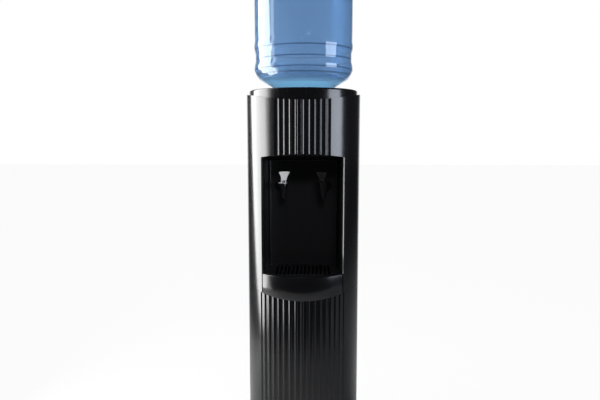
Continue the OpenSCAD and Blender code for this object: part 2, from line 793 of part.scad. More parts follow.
// Bottle outline as [radius, height] from the shoulder to the upper end, drawn in by inset
function bottle_side(inset) = [
    [shoulder_r - inset, shoulder_z],
    [bottle_r - 30 - inset, shoulder_z + 8],
    [bottle_r - 12.5 - inset, shoulder_z + 18.5],
    [bottle_r - 4.5 - inset, shoulder_z + 29.5],
    [bottle_r + 1.3 - inset, shoulder_z + 41],
    [bottle_r + 1.3 - inset, shoulder_z + 52],
    [bottle_r - 2 - inset, shoulder_z + 66],
    [bottle_r - 2 - inset, shoulder_z + 87],
    [bottle_r + 1.5 - inset, shoulder_z + 102],
    [bottle_r + 1.5 - inset, shoulder_z + 109],
    [bottle_r - 0.6 - inset, shoulder_z + 122],
    [bottle_r - inset, shoulder_z + 140],
    [bottle_r - inset, bottle_top_z - 34],
    [bottle_r - 3 - inset, bottle_top_z - 20],
    [bottle_r - 12 - inset, bottle_top_z - 6]
];

module bottle() color(water_blue) {
    neck_top_z = shoulder_z - (shoulder_r - neck_r) * shoulder_slope;
    rotate_extrude($fn = 120) difference() {
        polygon(concat(
            [[0, neck_mouth_z], [neck_r, neck_mouth_z], [neck_r, neck_top_z]],
            bottle_side(0),
            [[bottle_r - ring_out, bottle_top_z], [bottle_r - ring_in, bottle_top_z],
                [bottle_r - dish_in, bottle_top_z - dish_drop], [0, bottle_top_z - dish_drop]]
        ));
        polygon(concat(
            [[0, neck_mouth_z - cut], [neck_r - 3, neck_mouth_z - cut], [neck_r - 3, neck_top_z + 1]],
            [for (p = bottle_side(bottle_t)) [p[0], p[1] + (p[1] == shoulder_z ? 1.2 : 0)]],
            [[bottle_r - ring_out - 1, bottle_top_z - bottle_t],
                [bottle_r - ring_in + 1, bottle_top_z - bottle_t],
                [bottle_r - dish_in + 1, bottle_top_z - dish_drop - bottle_t],
                [0, bottle_top_z - dish_drop - bottle_t]]
        ));
    }
}

module bottle_cap() color(pale) rotate_extrude($fn = 96) polygon([
    [probe_r + 0.5, neck_mouth_z - seat - cap_t], [neck_r + 2.2, neck_mouth_z - seat - cap_t],
    [neck_r + 2.2, neck_mouth_z - seat - cap_t + cap_len],
    [neck_r + 0.2, neck_mouth_z - seat - cap_t + cap_len],
    [neck_r + 0.2, neck_mouth_z - seat], [probe_r + 2, neck_mouth_z - seat],
    [probe_r + 2, neck_mouth_z + 16], [probe_r + 0.5, neck_mouth_z + 16]
]);

// Taps, each drawn around its own axis with the niche's back at +y

module tap_body(side) color(black) at_tap(side) difference() {
    union() {
        translate([0, 0, spout_z]) cylinder(h = tap_h, r1 = spout_r, r2 = tap_r);
        translate([0, 0, shank_z]) rotate([-90, 0, 0]) cylinder(h = shank_end_y, r = shank_r);
        translate([0, tap_reach - flange_gap - 3, shank_z]) rotate([-90, 0, 0]) cylinder(h = 3, r = tap_r);
        translate([0, 0, shank_z]) rotate([-90, 0, 0]) cylinder(h = tail_end_y, r = tail_r);
    }
    translate([0, 0, spout_z - cut]) cylinder(h = tap_h, r = spout_bore_r);
    translate([0, 0, chamber_floor_z]) cylinder(h = tap_h, r = chamber_r);
    translate([0, 0, shank_z]) rotate([-90, 0, 0]) cylinder(h = tail_end_y + cut, r = tail_r - 1.5);
}

module bonnet(side) color(side < 0 ? pale : black) at_tap(side) difference() {
    union() {
        translate([0, 0, tap_top_z - bonnet_plug_h]) cylinder(h = bonnet_plug_h + 1, r = chamber_r - seat);
        translate([0, 0, bonnet_z]) cylinder(h = bonnet_flange_t, r = tap_r - 0.5);
        for (s = [-1, 1]) {
            ear_x = s * (hub_w / 2 + seat + ear_t / 2);
            translate([ear_x, -pivot_back, pivot_z]) rotate([0, 90, 0])
                cylinder(h = ear_t, r = ear_r, center = true);
            block([ear_x - ear_t / 2, -pivot_back - 2.2, bonnet_z + 1],
                [ear_x + ear_t / 2, -pivot_back + 3, pivot_z]);
        }
    }
    translate([0, 0, tap_top_z - bonnet_plug_h - cut])
        cylinder(h = bonnet_plug_h + bonnet_flange_t + 3, r = stem_r + run_fit);
    translate([0, -pivot_back, pivot_z]) rotate([0, 90, 0])
        cylinder(h = 30, r = pin_r + 0.02, center = true);
}

// Half width of the paddle at height h above its foot
function paddle_half_w(h) =
    lever_waist_w / 2 + (lever_tip_w - lever_waist_w) / 2 * pow(max(0, h - 4) / (lever_len - 4), 1.5);

module lever(side) color(side < 0 ? pale : black) at_tap(side) translate([0, -pivot_back, pivot_z]) {
    paddle = [for (h = [0:2:lever_len]) [paddle_half_w(h), h]];
    mirrored = [for (k = [len(paddle) - 1:-1:0]) [-paddle[k][0], paddle[k][1]]];
    difference() {
        union() {
            rotate([0, 90, 0]) cylinder(h = hub_w, r = hub_r, center = true);
            rotate([-lever_turn / 2, 0, 0]) block([-1.8, 0, -1.2], [1.8, pivot_back + 5, 1.2]);
            rotate([lever_lean, 0, 0]) {
                block([-hub_w / 2 + 0.3, -hub_r - 1, -2.6], [hub_w / 2 - 0.3, 0, 2.6]);
                translate([0, -hub_r, 0]) rotate([90, 0, 0]) linear_extrude(paddle_t)
                    polygon(concat(paddle, mirrored));
            }
        }
        rotate([0, 90, 0]) cylinder(h = hub_w + 2 * cut, r = pin_r + run_fit, center = true);
    }
}

module lever_pins() color(steel)
    for (side = [-1, 1]) at_tap(side) translate([0, -pivot_back, pivot_z]) rotate([0, 90, 0])
        cylinder(h = hub_w + 2 * seat + 2 * ear_t, r = pin_r, center = true);

module stem(side) color(steel) at_tap(side) difference() {
    head_z = bonnet_z + bonnet_flange_t + 1.5;
    slot_z = pivot_z - stem_lift / 2;
    union() {
        translate([0, 0, cup_z + 2.7]) cylinder(h = head_z - cup_z - 2, r = stem_r);
        translate([0, 0, head_z]) cylinder(h = slot_z + 6 - head_z, r = head_r);
    }
    block([-2.3, -10, slot_z - 2.8], [2.3, 10, slot_z + 2.8]);
}

module seat_cup(side) color([0.9, 0.9, 0.88]) at_tap(side) difference() {
    translate([0, 0, cup_z]) cylinder(h = cup_h, r = cup_r);
    translate([0, 0, cup_z + 2.4]) cylinder(h = cup_h, r = stem_r + 0.1);
}

module tap_spring(side) color(steel) at_tap(side) {
    low_z = cup_z + cup_h + seat + spring_wire_r;
    high_z = tap_top_z - bonnet_plug_h - seat - spring_wire_r;
    turns = 4;
    steps = 16;
    path = [for (i = [0:turns * steps])
        [spring_r * cos(360 * i / steps), spring_r * sin(360 * i / steps),
            low_z + (high_z - low_z) * i / (turns * steps)]];
    swept(path, spring_wire_r, [0, 0, 1], 6);
}

module shank_nuts() color(zinc)
    for (side = [-1, 1]) at_tap(side) translate([0, nut_y, shank_z]) rotate([-90, 0, 0]) difference() {
        cylinder(h = nut_t, r = shank_r + 6, $fn = 6);
        translate([0, 0, -cut]) cylinder(h = nut_t + 2 * cut, r = shank_r + 0.1);
    }

module shank_washers() color(black)
    for (side = [-1, 1]) at_tap(side) translate([0, washer_y, shank_z]) rotate([-90, 0, 0]) difference() {
        cylinder(h = washer_t, r = shank_r + 5);
        translate([0, 0, -cut]) cylinder(h = washer_t + 2 * cut, r = shank_r + 0.2);
    }

// A point given around a tap's axis, in the cabinet's frame
function from_tap(side, y, z) = [
    side * (tap_axis[0] + y * sin(tap_toe)),
    tap_axis[1] + y * cos(tap_toe),
    z
];

module water_tube(side) color([0.92, 0.92, 0.9]) {
    path = route([
        [side * outlet[0], outlet[1], shelf_z - 3],
        [side * outlet[0], outlet[1], shank_z + 52],
        from_tap(side, tail_end_y + 28, shank_z),
        from_tap(side, shank_end_y + seat, shank_z)
    ], 12);
    swept(path, hose_out_r, [cos(tap_toe), -side * sin(tap_toe), 0], 12, hose_in_r);
}

// Cooling circuit

module evaporator_coil() color(copper) {
    helix = [for (i = [0:coil_turns * coil_steps])
        let (a = 360 * i / coil_steps)
        [coil_r * cos(a), -coil_r * sin(a), coil_low_z + coil_pitch * a / 360]];
    path = concat([[coil_r, tail_y, coil_low_z]], helix, [[-coil_r, tail_y, coil_high_z]]);
    swept(path, suction_r, [0, 0, 1]);
}

module suction_line() color(copper) swept(route([
    [-coil_r, tail_y + seat, coil_high_z], [-coil_r, suction_y, coil_high_z],
    [-coil_r, suction_y, pot_z + 24], [-coil_r, pot_y, pot_z + 24], [-pot_r - seat, pot_y, pot_z + 24]
], 5), suction_r, [1, 0.3, 0.2]);

module discharge_line() color(copper) swept(route([
    [0, pot_y, pot_z + pot_half_h + seat], [0, pot_y, liquid_z], [0, tube_y, liquid_z],
    [-line_x, tube_y, liquid_z], [-line_x, tube_y, condenser_high_z],
    [-condenser_reach - seat, tube_y, condenser_high_z]
], 10), tube_r, [0.4, 0.3, 1]);

module liquid_line() color(copper) swept(route([
    [condenser_reach + seat, tube_y, condenser_low_z], [line_x, tube_y, condenser_low_z],
    [line_x, tube_y, liquid_z], [line_x, drier[1], liquid_z], [line_x, drier[1], drier_high_z + seat]
], 5), tube_r, [1, 0.3, 0.2]);

module capillary_tube() color(copper) swept(route([
    [drier[0], drier[1], drier_low_z - seat], [drier[0], drier[1], drier_low_z - drier_lead],
    [capillary_x, capillary_y, drier_low_z - drier_lead], [capillary_x, capillary_y, coil_low_z],
    [coil_r, capillary_y, coil_low_z], [coil_r, tail_y + seat, coil_low_z]
], 4), capillary_r, [0.3, 1, 0.4], 6);

module filter_drier() color(copper) translate([drier[0], drier[1], 0]) rotate_extrude() polygon([
    [0, drier_low_z], [3, drier_low_z], [3, drier_low_z + 6], [drier_r, drier_low_z + 14],
    [drier_r, drier_high_z - 14], [3, drier_high_z - 6], [3, drier_high_z], [0, drier_high_z]
]);

module condenser_tube() color(black) {
    r = run_pitch / 2;
    turn_x = condenser_reach - r;
    steps = 8;
    runs = [for (k = [0:condenser_runs - 1])
        let (z = condenser_high_z - k * run_pitch, way = k % 2 == 0 ? 1 : -1)
        each concat(
            [[k == 0 ? -condenser_reach : -way * turn_x, tube_y, z]],
            [[k == condenser_runs - 1 ? condenser_reach : way * turn_x, tube_y, z]],
            k == condenser_runs - 1 ? [] : [for (i = [1:steps - 1])
                let (a = 180 * i / steps) [way * (turn_x + r * sin(a)), tube_y, z - r + r * cos(a)]]
        )
    ];
    swept(runs, tube_r, [0, 1, 0]);
}

module condenser_grid(y) {
    low_z = condenser_low_z - 10;
    high_z = condenser_high_z + 10;
    half_w = (wire_count - 1) / 2 * wire_pitch;
    for (i = [0:wire_count - 1])
        translate([-half_w + i * wire_pitch - wire_t / 2, y, low_z]) cube([wire_t, wire_t, high_z - low_z]);
    for (z = [low_z, (low_z + high_z) / 2, high_z - wire_t])
        block([-half_w, y, z], [half_w, y + wire_t, z + wire_t]);
}

module condenser_wires() color(black) {
    condenser_grid(wire_front_y);
    condenser_grid(wire_rear_y);
}

module condenser_brackets() color(zinc) {
    from_end = 1.5 * run_pitch;
    for (x = [-bracket_x, bracket_x], z = [condenser_low_z + from_end, condenser_high_z - from_end])
        block([x - 5, rear_out_y + seat, z - 8], [x + 5, wire_front_y - seat, z + 8]);
}

module compressor() color(black) difference() {
    union() {
        translate([0, pot_y, pot_z]) intersection() {
            cylinder(h = 2 * pot_half_h, r = pot_r, center = true, $fn = 96);
            sphere(r = pot_half_h, $fn = 96);
        }
        translate([0, pot_y, pot_z]) cylinder(h = 5, r = pot_r + 3, center = true, $fn = 96);
        block([-plate_half_w, pot_y - plate_half_d, bracket_plate_z],
            [plate_half_w, pot_y + plate_half_d, bracket_plate_z + bracket_plate_t]);
    }
    for (p = bolt_places)
        translate([p[0], p[1], bracket_plate_z - cut])
            cylinder(h = bracket_plate_t + 2 * cut, r = bolt_r + seat);
}

module compressor_grommets() color([0.12, 0.12, 0.12])
    for (p = bolt_places)
        translate([p[0], p[1], grommet_z]) difference() {
            cylinder(h = grommet_h, r = bolt_r + 6);
            translate([0, 0, -cut]) cylinder(h = grommet_h + 2 * cut, r = bolt_r + seat);
        }

module compressor_bolts() color(steel)
    for (p = bolt_places) {
        translate([p[0], p[1], underside_z - 1.5])
            cylinder(h = bracket_plate_z + bracket_plate_t + 2 - underside_z, r = bolt_r);
        translate([p[0], p[1], bracket_plate_z + bracket_plate_t + seat])
            cylinder(h = 4, r = bolt_r + 2.5, $fn = 6);
    }

module starter_box() color(black) block(starter, starter + starter_size);

module wiring_lead() color([0.1, 0.1, 0.1]) swept(route([
    [inlet_x, rear_out_y - inlet_body_d - seat, inlet_z], [inlet_x, pot_y + 20, inlet_z],
    [starter[0] + 16, pot_y, inlet_z - 40], [starter[0] + 16, pot_y, starter[2] + starter_size[2] + seat]
], 12), lead_r, [1, 0.1, 0.1]);

// Controls at the back

module thermostat() color(black) difference() {
    half = thermostat_size / 2;
    block([thermostat_x - half, rear_in_y - seat - thermostat_d, thermostat_z - half],
        [thermostat_x + half, rear_in_y - seat, thermostat_z + half]);
    translate([thermostat_x, shaft_start_y - cut, thermostat_z]) rotate([-90, 0, 0])
        cylinder(h = 20, r = shaft_r + run_fit);
}

module thermostat_shaft() color(steel)
    translate([thermostat_x, shaft_start_y, thermostat_z]) rotate([-90, 0, 0])
        cylinder(h = knob_y + knob_h - 3.5 - shaft_start_y, r = shaft_r);

module thermostat_knob() color(black)
    translate([thermostat_x, knob_y, thermostat_z]) rotate([-90, 0, 0]) difference() {
        union() {
            cylinder(h = 3, r = knob_r);
            cylinder(h = knob_h, r = knob_r - 2.5);
        }
        translate([0, 0, -cut]) cylinder(h = knob_h - 3 + cut, r = shaft_r + 0.1);
        block([-0.8, knob_r / 2, knob_h - 1], [0.8, knob_r, knob_h + 1]);
    }

// The inlet's socket drawn out by grow, from one depth to another
module inlet_block(grow, front_y, rear_y) {
    block([inlet_x - inlet_w / 2 - grow, front_y, inlet_z - inlet_h / 2 - grow],
        [inlet_x + inlet_w / 2 + grow, rear_y, inlet_z + inlet_h / 2 + grow]);
}

module power_inlet() color(black) difference() {
    flange_half_w = inlet_screws / 2 + 5;
    union() {
        block([inlet_x - flange_half_w, rear_out_y + seat, inlet_z - inlet_flange_h / 2],
            [inlet_x + flange_half_w, inlet_face_y, inlet_z + inlet_flange_h / 2]);
        inlet_block(inlet_wall, rear_out_y - inlet_body_d, rear_out_y + seat + 0.5);
    }
    inlet_block(0, inlet_bottom_y, inlet_face_y + cut);
    for (dx = [-inlet_screws / 2, inlet_screws / 2])
        translate([inlet_x + dx, rear_out_y, inlet_z]) rotate([-90, 0, 0])
            cylinder(h = inlet_flange_t + cut, r = screw_hole_r);
}

module inlet_pins() color([0.8, 0.7, 0.4])
    for (i = [-1:1])
        translate([inlet_x + i * pin_pitch - pin_d / 2, inlet_bottom_y + seat, inlet_z - pin_h / 2])
            cube([pin_d, inlet_depth - 4, pin_h]);

base_pan();
foot_set();  // feet
side_panel(-1);  // left_side_panel
side_panel(1);  // right_side_panel
rear_panel();
panel_screws();
top_frame();
collar();
front_upper_shell();
front_lower_panel();
niche_liner();
drip_tray();
drip_grille();
tank_shelf();
insulation();
reservoir();
baffle();
reservoir_gasket();
reservoir_lid();
bottle_guard();
bottle();
bottle_cap();
tap_body(-1);  // left_tap_body
tap_body(1);  // right_tap_body
bonnet(-1);  // left_bonnet
bonnet(1);  // right_bonnet
lever(-1);  // left_lever
lever(1);  // right_lever
lever_pins();
stem(-1);  // left_stem
stem(1);  // right_stem
seat_cup(-1);  // left_seat_cup
seat_cup(1);  // right_seat_cup
tap_spring(-1);  // left_spring
tap_spring(1);  // right_spring
shank_nuts();
shank_washers();
water_tube(-1);  // left_water_tube
water_tube(1);  // right_water_tube
evaporator_coil();
suction_line();
discharge_line();
liquid_line();
capillary_tube();
filter_drier();
condenser_tube();
condenser_wires();
condenser_brackets();
compressor();
compressor_grommets();
compressor_bolts();
starter_box();
wiring_lead();
thermostat();
thermostat_shaft();
thermostat_knob();
power_inlet();
inlet_pins();
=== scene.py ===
"""The finished looks of a floor-standing water cooler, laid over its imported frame: smooth moulded panels, the
blue bottle, the two lever taps, the cooling circuit at the back, and a plain pale studio."""

import json
import math
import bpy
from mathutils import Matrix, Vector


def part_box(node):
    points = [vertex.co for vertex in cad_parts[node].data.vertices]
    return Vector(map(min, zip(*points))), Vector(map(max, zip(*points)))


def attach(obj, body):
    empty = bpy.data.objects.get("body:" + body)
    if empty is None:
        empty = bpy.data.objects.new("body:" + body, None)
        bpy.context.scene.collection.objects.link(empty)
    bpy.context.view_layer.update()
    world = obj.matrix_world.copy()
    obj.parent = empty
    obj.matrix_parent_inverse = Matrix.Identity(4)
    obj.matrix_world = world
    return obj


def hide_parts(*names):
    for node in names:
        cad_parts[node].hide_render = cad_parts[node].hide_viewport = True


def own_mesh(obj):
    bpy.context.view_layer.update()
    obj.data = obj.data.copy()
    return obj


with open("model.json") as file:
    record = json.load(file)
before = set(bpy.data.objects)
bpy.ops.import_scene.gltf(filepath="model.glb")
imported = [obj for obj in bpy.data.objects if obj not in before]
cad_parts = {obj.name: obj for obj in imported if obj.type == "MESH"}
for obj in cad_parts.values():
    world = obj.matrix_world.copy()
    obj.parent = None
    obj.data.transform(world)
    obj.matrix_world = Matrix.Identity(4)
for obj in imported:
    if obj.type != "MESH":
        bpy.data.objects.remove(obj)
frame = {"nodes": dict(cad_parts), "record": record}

from types import SimpleNamespace

import bmesh
import bpy
import numpy as np
from bpy.props import FloatProperty, FloatVectorProperty, PointerProperty
from mathutils import Euler, Quaternion, Vector

bl_info = {
    "name": "Water cooler",
    "version": (1, 0, 0),
    "blender": (4, 5, 0),
    "location": "3D View > Sidebar > Cooler",
    "description": "Builds the panels, bottle, taps, cooling circuit and studio of a water cooler",
    "category": "Object",
}

MM = 0.001
BODY_OF = {node: body for body, nodes in frame["record"]["behaviour"]["bodies"].items() for node in nodes}
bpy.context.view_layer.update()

# The part's own sizes, in millimetres

FRONT_R = 158.0
PANEL_BACK_R = 154.2
HOLE_R = 138.0
TOP_SEAM = 968.0
LOWER_SEAM = 446.0
PANEL_FOOT = 14
UPPER_FLUTES = (10, 5.5)
LOWER_FLUTES = (16, 5.8)
COLLAR_R, COLLAR_TOP = 150, 1000

NICHE_TOP = 832
NICHE_MOUTH = 110
NICHE_BACK_Y = 15
WALL_FRONT, WALL_BACK = 108, 97.5
SILL = 508.5
TRAY_GAP = 0.8
GRILLE_SLOTS, SLOT_PITCH, SLOT_HALF = 14, 11, 3
SLOT_ENDS = (-108.0, -8.0)

TAP_X, TAP_REACH = 56, 55
TAP_TOE = math.radians(15)
NICHE_BACK_R = TAP_X / math.sin(TAP_TOE) + TAP_REACH
NICHE_BACK_MID = NICHE_BACK_Y - NICHE_BACK_R
TAP_Y = NICHE_BACK_MID + (NICHE_BACK_R - TAP_REACH) * math.cos(TAP_TOE)
SHANK_Z, PIVOT_Z = 736, 759
STEM_TRAVEL = 4.0
HALF_TURN = math.radians(12.5)
PIVOT_BACK = STEM_TRAVEL / (2 * math.sin(HALF_TURN))
HUB_HALF, HUB_R, EAR_HALF = 4.3, 3.8, 1.25

BOTTLE_TOP, SHOULDER_Z, SHOULDER_R, MOUTH_Z = 1418, 1012, 90.8, 929.7

POT_Y, POT_HALF = 52, 75
POT_Z = 16 + 1.2 + 0.6 + 20 + POT_HALF - 13
LINE_R, SUCTION_R, SEAT = 2.4, 3.05, 0.3
TUBE_Y = FRONT_R - 1.6 - 0.2 - LINE_R
TAIL_Y, LINE_X, LINE_Z = 100, 112, 205
COIL_R = (92 + 0.3 + 3.1) / math.cos(math.pi / 24)
CONDENSER = (300.0, 800.0)


# Shapes


def seam_rise(x, arc_r):
    """How far a seam has risen at x: the height of a circle's arc of radius arc_r above its lowest point."""
    return arc_r - np.sqrt(arc_r**2 - np.clip(x, -arc_r, arc_r) ** 2)


def circle(count):
    """Even angles once round a circle, in radians."""
    return np.linspace(0, 2 * np.pi, count, endpoint=False)


def arc_points(radius, start, end, count, centre=(0.0, 0.0)):
    """Points on a circle from one angle to another, in degrees, counted anticlockwise from +x."""
    a = np.radians(np.linspace(start, end, count))
    return np.stack([centre[0] + radius * np.cos(a), centre[1] + radius * np.sin(a)], 1)


def bent(p, corner, q, t):
    """Quadratic curve from p to q that leaves and arrives along the lines to the corner."""
    return (1 - t) ** 2 * p + 2 * t * (1 - t) * corner + t**2 * q


def rounded(points, radii, steps):
    """A polyline whose inner corners are quadratic curves, which start and end one tangent length from the
    corner: the radius over the tangent of half its angle, and at most half of either side."""
    points = np.asarray(points, float)
    radii = np.broadcast_to(np.asarray(radii, float), (len(points),))
    before, corner, after = points[:-2], points[1:-1], points[2:]
    u, v = before - corner, after - corner
    lu, lv = np.linalg.norm(u, axis=1), np.linalg.norm(v, axis=1)
    u, v = u / lu[:, None], v / lv[:, None]
    half = np.arccos(np.clip((u * v).sum(1), -1, 1)) / 2
    reach = np.minimum(radii[1:-1] / np.maximum(np.tan(half), 1e-6), 0.49 * np.minimum(lu, lv))
    p, q = corner + reach[:, None] * u, corner + reach[:, None] * v
    curve = bent(p[:, None], corner[:, None], q[:, None], np.linspace(0, 1, steps)[None, :, None])
    return np.concatenate([points[:1], curve.reshape(-1, points.shape[1]), points[-1:]])


def spaced(low, high, step, edge):
    """Values from low to high with one short first and last interval and even ones of about step between."""
    inner = np.linspace(low + edge, high - edge, max(2, int(round(abs(high - low) / step)) + 1))
    return np.concatenate([[low], inner, [high]])


def turned_points(radius, height, a):
    """Points of a section turned about an upright axis to the angles a."""
    return np.stack(np.broadcast_arrays(radius * np.cos(a), radius * np.sin(a), height), -1)


def at_height(plan, z):
    """Points of a plan at a height, or at one height each."""
    return np.column_stack([plan, np.broadcast_to(z, len(plan))])


def at_side(plan, x):
    """Points of an outline in y and z at one x."""
    return np.column_stack([np.full(len(plan), x), plan])


def ends(node, axis=2):
    """The least and the greatest coordinate of a node of the frame along one axis, in millimetres."""
    return [corner[axis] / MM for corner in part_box(node)]


def told(thing, **settings):
    """Sets properties of a thing and gives it back."""
    for key, value in settings.items():
        setattr(thing, key, value)
    return thing


def linked(name, data, **settings):
    """A new object of this data, in the scene."""
    made = bpy.data.objects.new(name, data)
    bpy.context.scene.collection.objects.link(made)
    return told(made, **settings)


class Shape:
    """Points in millimetres and faces, gathered from grids before they become one mesh."""

    def __init__(self):
        self.points, self.faces, self.count = [], [], 0

    def grid(self, points, close_cols=False, close_rows=False, keep=True, caps=False, flip=False):
        """Adds a grid of points[row, column]. Keep drops some of its quads; caps closes its first and last
        row."""
        points = np.asarray(points, float)
        rows, cols = points.shape[:2]
        index = self.count + np.arange(rows * cols).reshape(rows, cols)
        first, last = index[0].tolist(), index[-1].tolist()
        if close_cols:
            index = np.concatenate([index, index[:, :1]], 1)
        if close_rows:
            index = np.concatenate([index, index[:1]], 0)
        quads = np.stack([index[:-1, :-1], index[:-1, 1:], index[1:, 1:], index[1:, :-1]], -1)
        faces = quads[np.broadcast_to(keep, quads.shape[:2])].tolist()
        if caps:
            faces += [first[::-1], last]
        self.faces += [f[::-1] for f in faces] if flip else faces
        self.points.append(points.reshape(-1, 3))
        self.count += rows * cols
        return self

    def ring(self, points):
        """Adds a grid that closes on itself both ways."""
        return self.grid(points, close_cols=True, close_rows=True)

    def bar(self, points):
        """Adds closed rings, one after another, with a face over each end."""
        return self.grid(points, close_cols=True, caps=True)

    def turned(self, profile, sides, place=lambda points: points):
        """Adds a closed profile of [radius, height] turned about an upright axis."""
        profile = np.asarray(profile, float)
        return self.ring(place(turned_points(profile[:, :1], profile[:, 1:], circle(sides))))

    def swept(self, path, radius, sides=16, across=(0.0, 0.0, 1.0)):
        """Adds a bar along a path: each ring stands square to it, turned by a direction that it never
        follows."""
        path = np.asarray(path, float)
        ahead = np.gradient(path, axis=0)
        u = np.cross(ahead, np.asarray(across, float))
        u /= np.linalg.norm(u, axis=1)[:, None]
        v = np.cross(ahead, u)
        v /= np.linalg.norm(v, axis=1)[:, None]
        a = circle(sides)[None, :, None]
        return self.bar(path[:, None] + radius * (np.cos(a) * u[:, None] + np.sin(a) * v[:, None]))

    def made(self, name, closed=True, crease=40.0):
        """Makes the object: doubles merged, which closes seams and poles, faces smooth, sharp over crease."""
        mesh = bpy.data.meshes.new(name)
        mesh.from_pydata((np.concatenate(self.points) * MM).tolist(), [], self.faces)
        work = bmesh.new()
        work.from_mesh(mesh)
        bmesh.ops.remove_doubles(work, verts=work.verts, dist=2e-6)
        bmesh.ops.dissolve_degenerate(work, edges=work.edges, dist=1e-7)
        if closed:
            bmesh.ops.recalc_face_normals(work, faces=work.faces)
        work.to_mesh(mesh)
        work.free()
        mesh.polygons.foreach_set("use_smooth", np.ones(len(mesh.polygons), bool))
        mesh.set_sharp_from_angle(angle=math.radians(crease))
        return linked(name, mesh)


def walled(piece, thickness, edge=0.8, segments=3, angle=50.0):
    """Gives an open surface its wall on the side behind its faces, and softens the wall's edges."""
    told(piece.modifiers.new("wall", "SOLIDIFY"), thickness=thickness * MM, offset=-1, use_even_offset=True)
    return softened(piece, edge, segments, angle)


def softened(piece, edge=0.8, segments=3, angle=40.0):
    """Rounds the sharp edges of a piece and keeps its large faces flat."""
    told(piece.modifiers.new("edge", "BEVEL"), width=edge * MM, segments=segments, limit_method="ANGLE",
         angle_limit=math.radians(angle), miter_outer="MITER_ARC")
    told(piece.modifiers.new("normals", "WEIGHTED_NORMAL"), keep_sharp=False)
    return piece


def settle(piece, look, node):
    """Gives a piece its finish and slot, lets it ride with the node that it replaces, and hides that one."""
    piece.data.materials.clear()
    piece.data.materials.append(finish(look))
    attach(piece, BODY_OF[node])
    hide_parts(node)
    return piece


def at_tap(side):
    """A function that turns points drawn around a tap's axis towards the middle and puts them at that tap."""
    c, s = math.cos(-side * TAP_TOE), math.sin(-side * TAP_TOE)

    def place(points):
        x, y, z = points[..., 0], points[..., 1], points[..., 2]
        return np.stack([c * x - s * y + side * TAP_X, s * x + c * y + TAP_Y, z], -1)

    return place


def at_pivot(side, lean=0.0):
    """The same for points drawn around the lever's pin, leant back about it by an angle."""
    place = at_tap(side)
    c, s = math.cos(lean), math.sin(lean)

    def put(points):
        x, y, z = points[..., 0], points[..., 1], points[..., 2]
        return place(np.stack([x, c * y - s * z - PIVOT_BACK, s * y + c * z + PIVOT_Z], -1))

    return put


# Finishes


def arithmetic(operation, swapped=False):
    """The method of one operator between Terms and numbers, or of its reflected form."""

    def run(self, other):
        first, second = (other, self) if swapped else (self, other)
        return self.owner.node("Math", {"operation": operation}, {0: first, 1: second})

    return run


class Term:
    """A socket in an expression: each operator adds its Math node and gives that node's output."""

    def __init__(self, owner, socket):
        self.owner = owner
        self.socket = socket

    __add__, __radd__ = arithmetic("ADD"), arithmetic("ADD", True)
    __sub__, __rsub__ = arithmetic("SUBTRACT"), arithmetic("SUBTRACT", True)
    __mul__, __rmul__ = arithmetic("MULTIPLY"), arithmetic("MULTIPLY", True)
    __truediv__, __rtruediv__ = arithmetic("DIVIDE"), arithmetic("DIVIDE", True)
    __pow__, __rpow__ = arithmetic("POWER"), arithmetic("POWER", True)

    def most(self, other):
        return self.owner.node("Math", {"operation": "MAXIMUM"}, {0: self, 1: other})

    def between(self, low, high):
        """0 below low, 1 above high and a smooth step between them."""
        sockets = {0: self, 1: low, 2: high, 3: 0.0, 4: 1.0}
        return self.owner.node("MapRange", {"interpolation_type": "SMOOTHSTEP"}, sockets)


class Nodes:
    """A node tree, to which expressions add their nodes."""

    def __init__(self, tree):
        self.tree = tree

    def node(self, kind, settings=None, sockets=None, output=0):
        """Adds a node of a type, with its settings first and then the values or links of its sockets."""
        made = told(self.tree.nodes.new("ShaderNode" + kind), **(settings or {}))
        for key, value in (sockets or {}).items():
            if isinstance(value, Term):
                self.tree.links.new(value.socket, made.inputs[key])
            else:
                made.inputs[key].default_value = value
        return Term(self, made.outputs[output])

    def blend(self, factor, first, second):
        return self.node("Mix", {"data_type": "RGBA"}, {0: factor, 6: first, 7: second}, 2)

    def tones(self, factor, colour, first, second):
        """A blend between two gains of one colour."""
        return self.blend(factor, rgba(colour, first), rgba(colour, second))

    def link(self, term, node, socket):
        """Links a term to a socket of one of the tree's own nodes."""
        self.tree.links.new(term.socket, self.tree.nodes[node].inputs[socket])


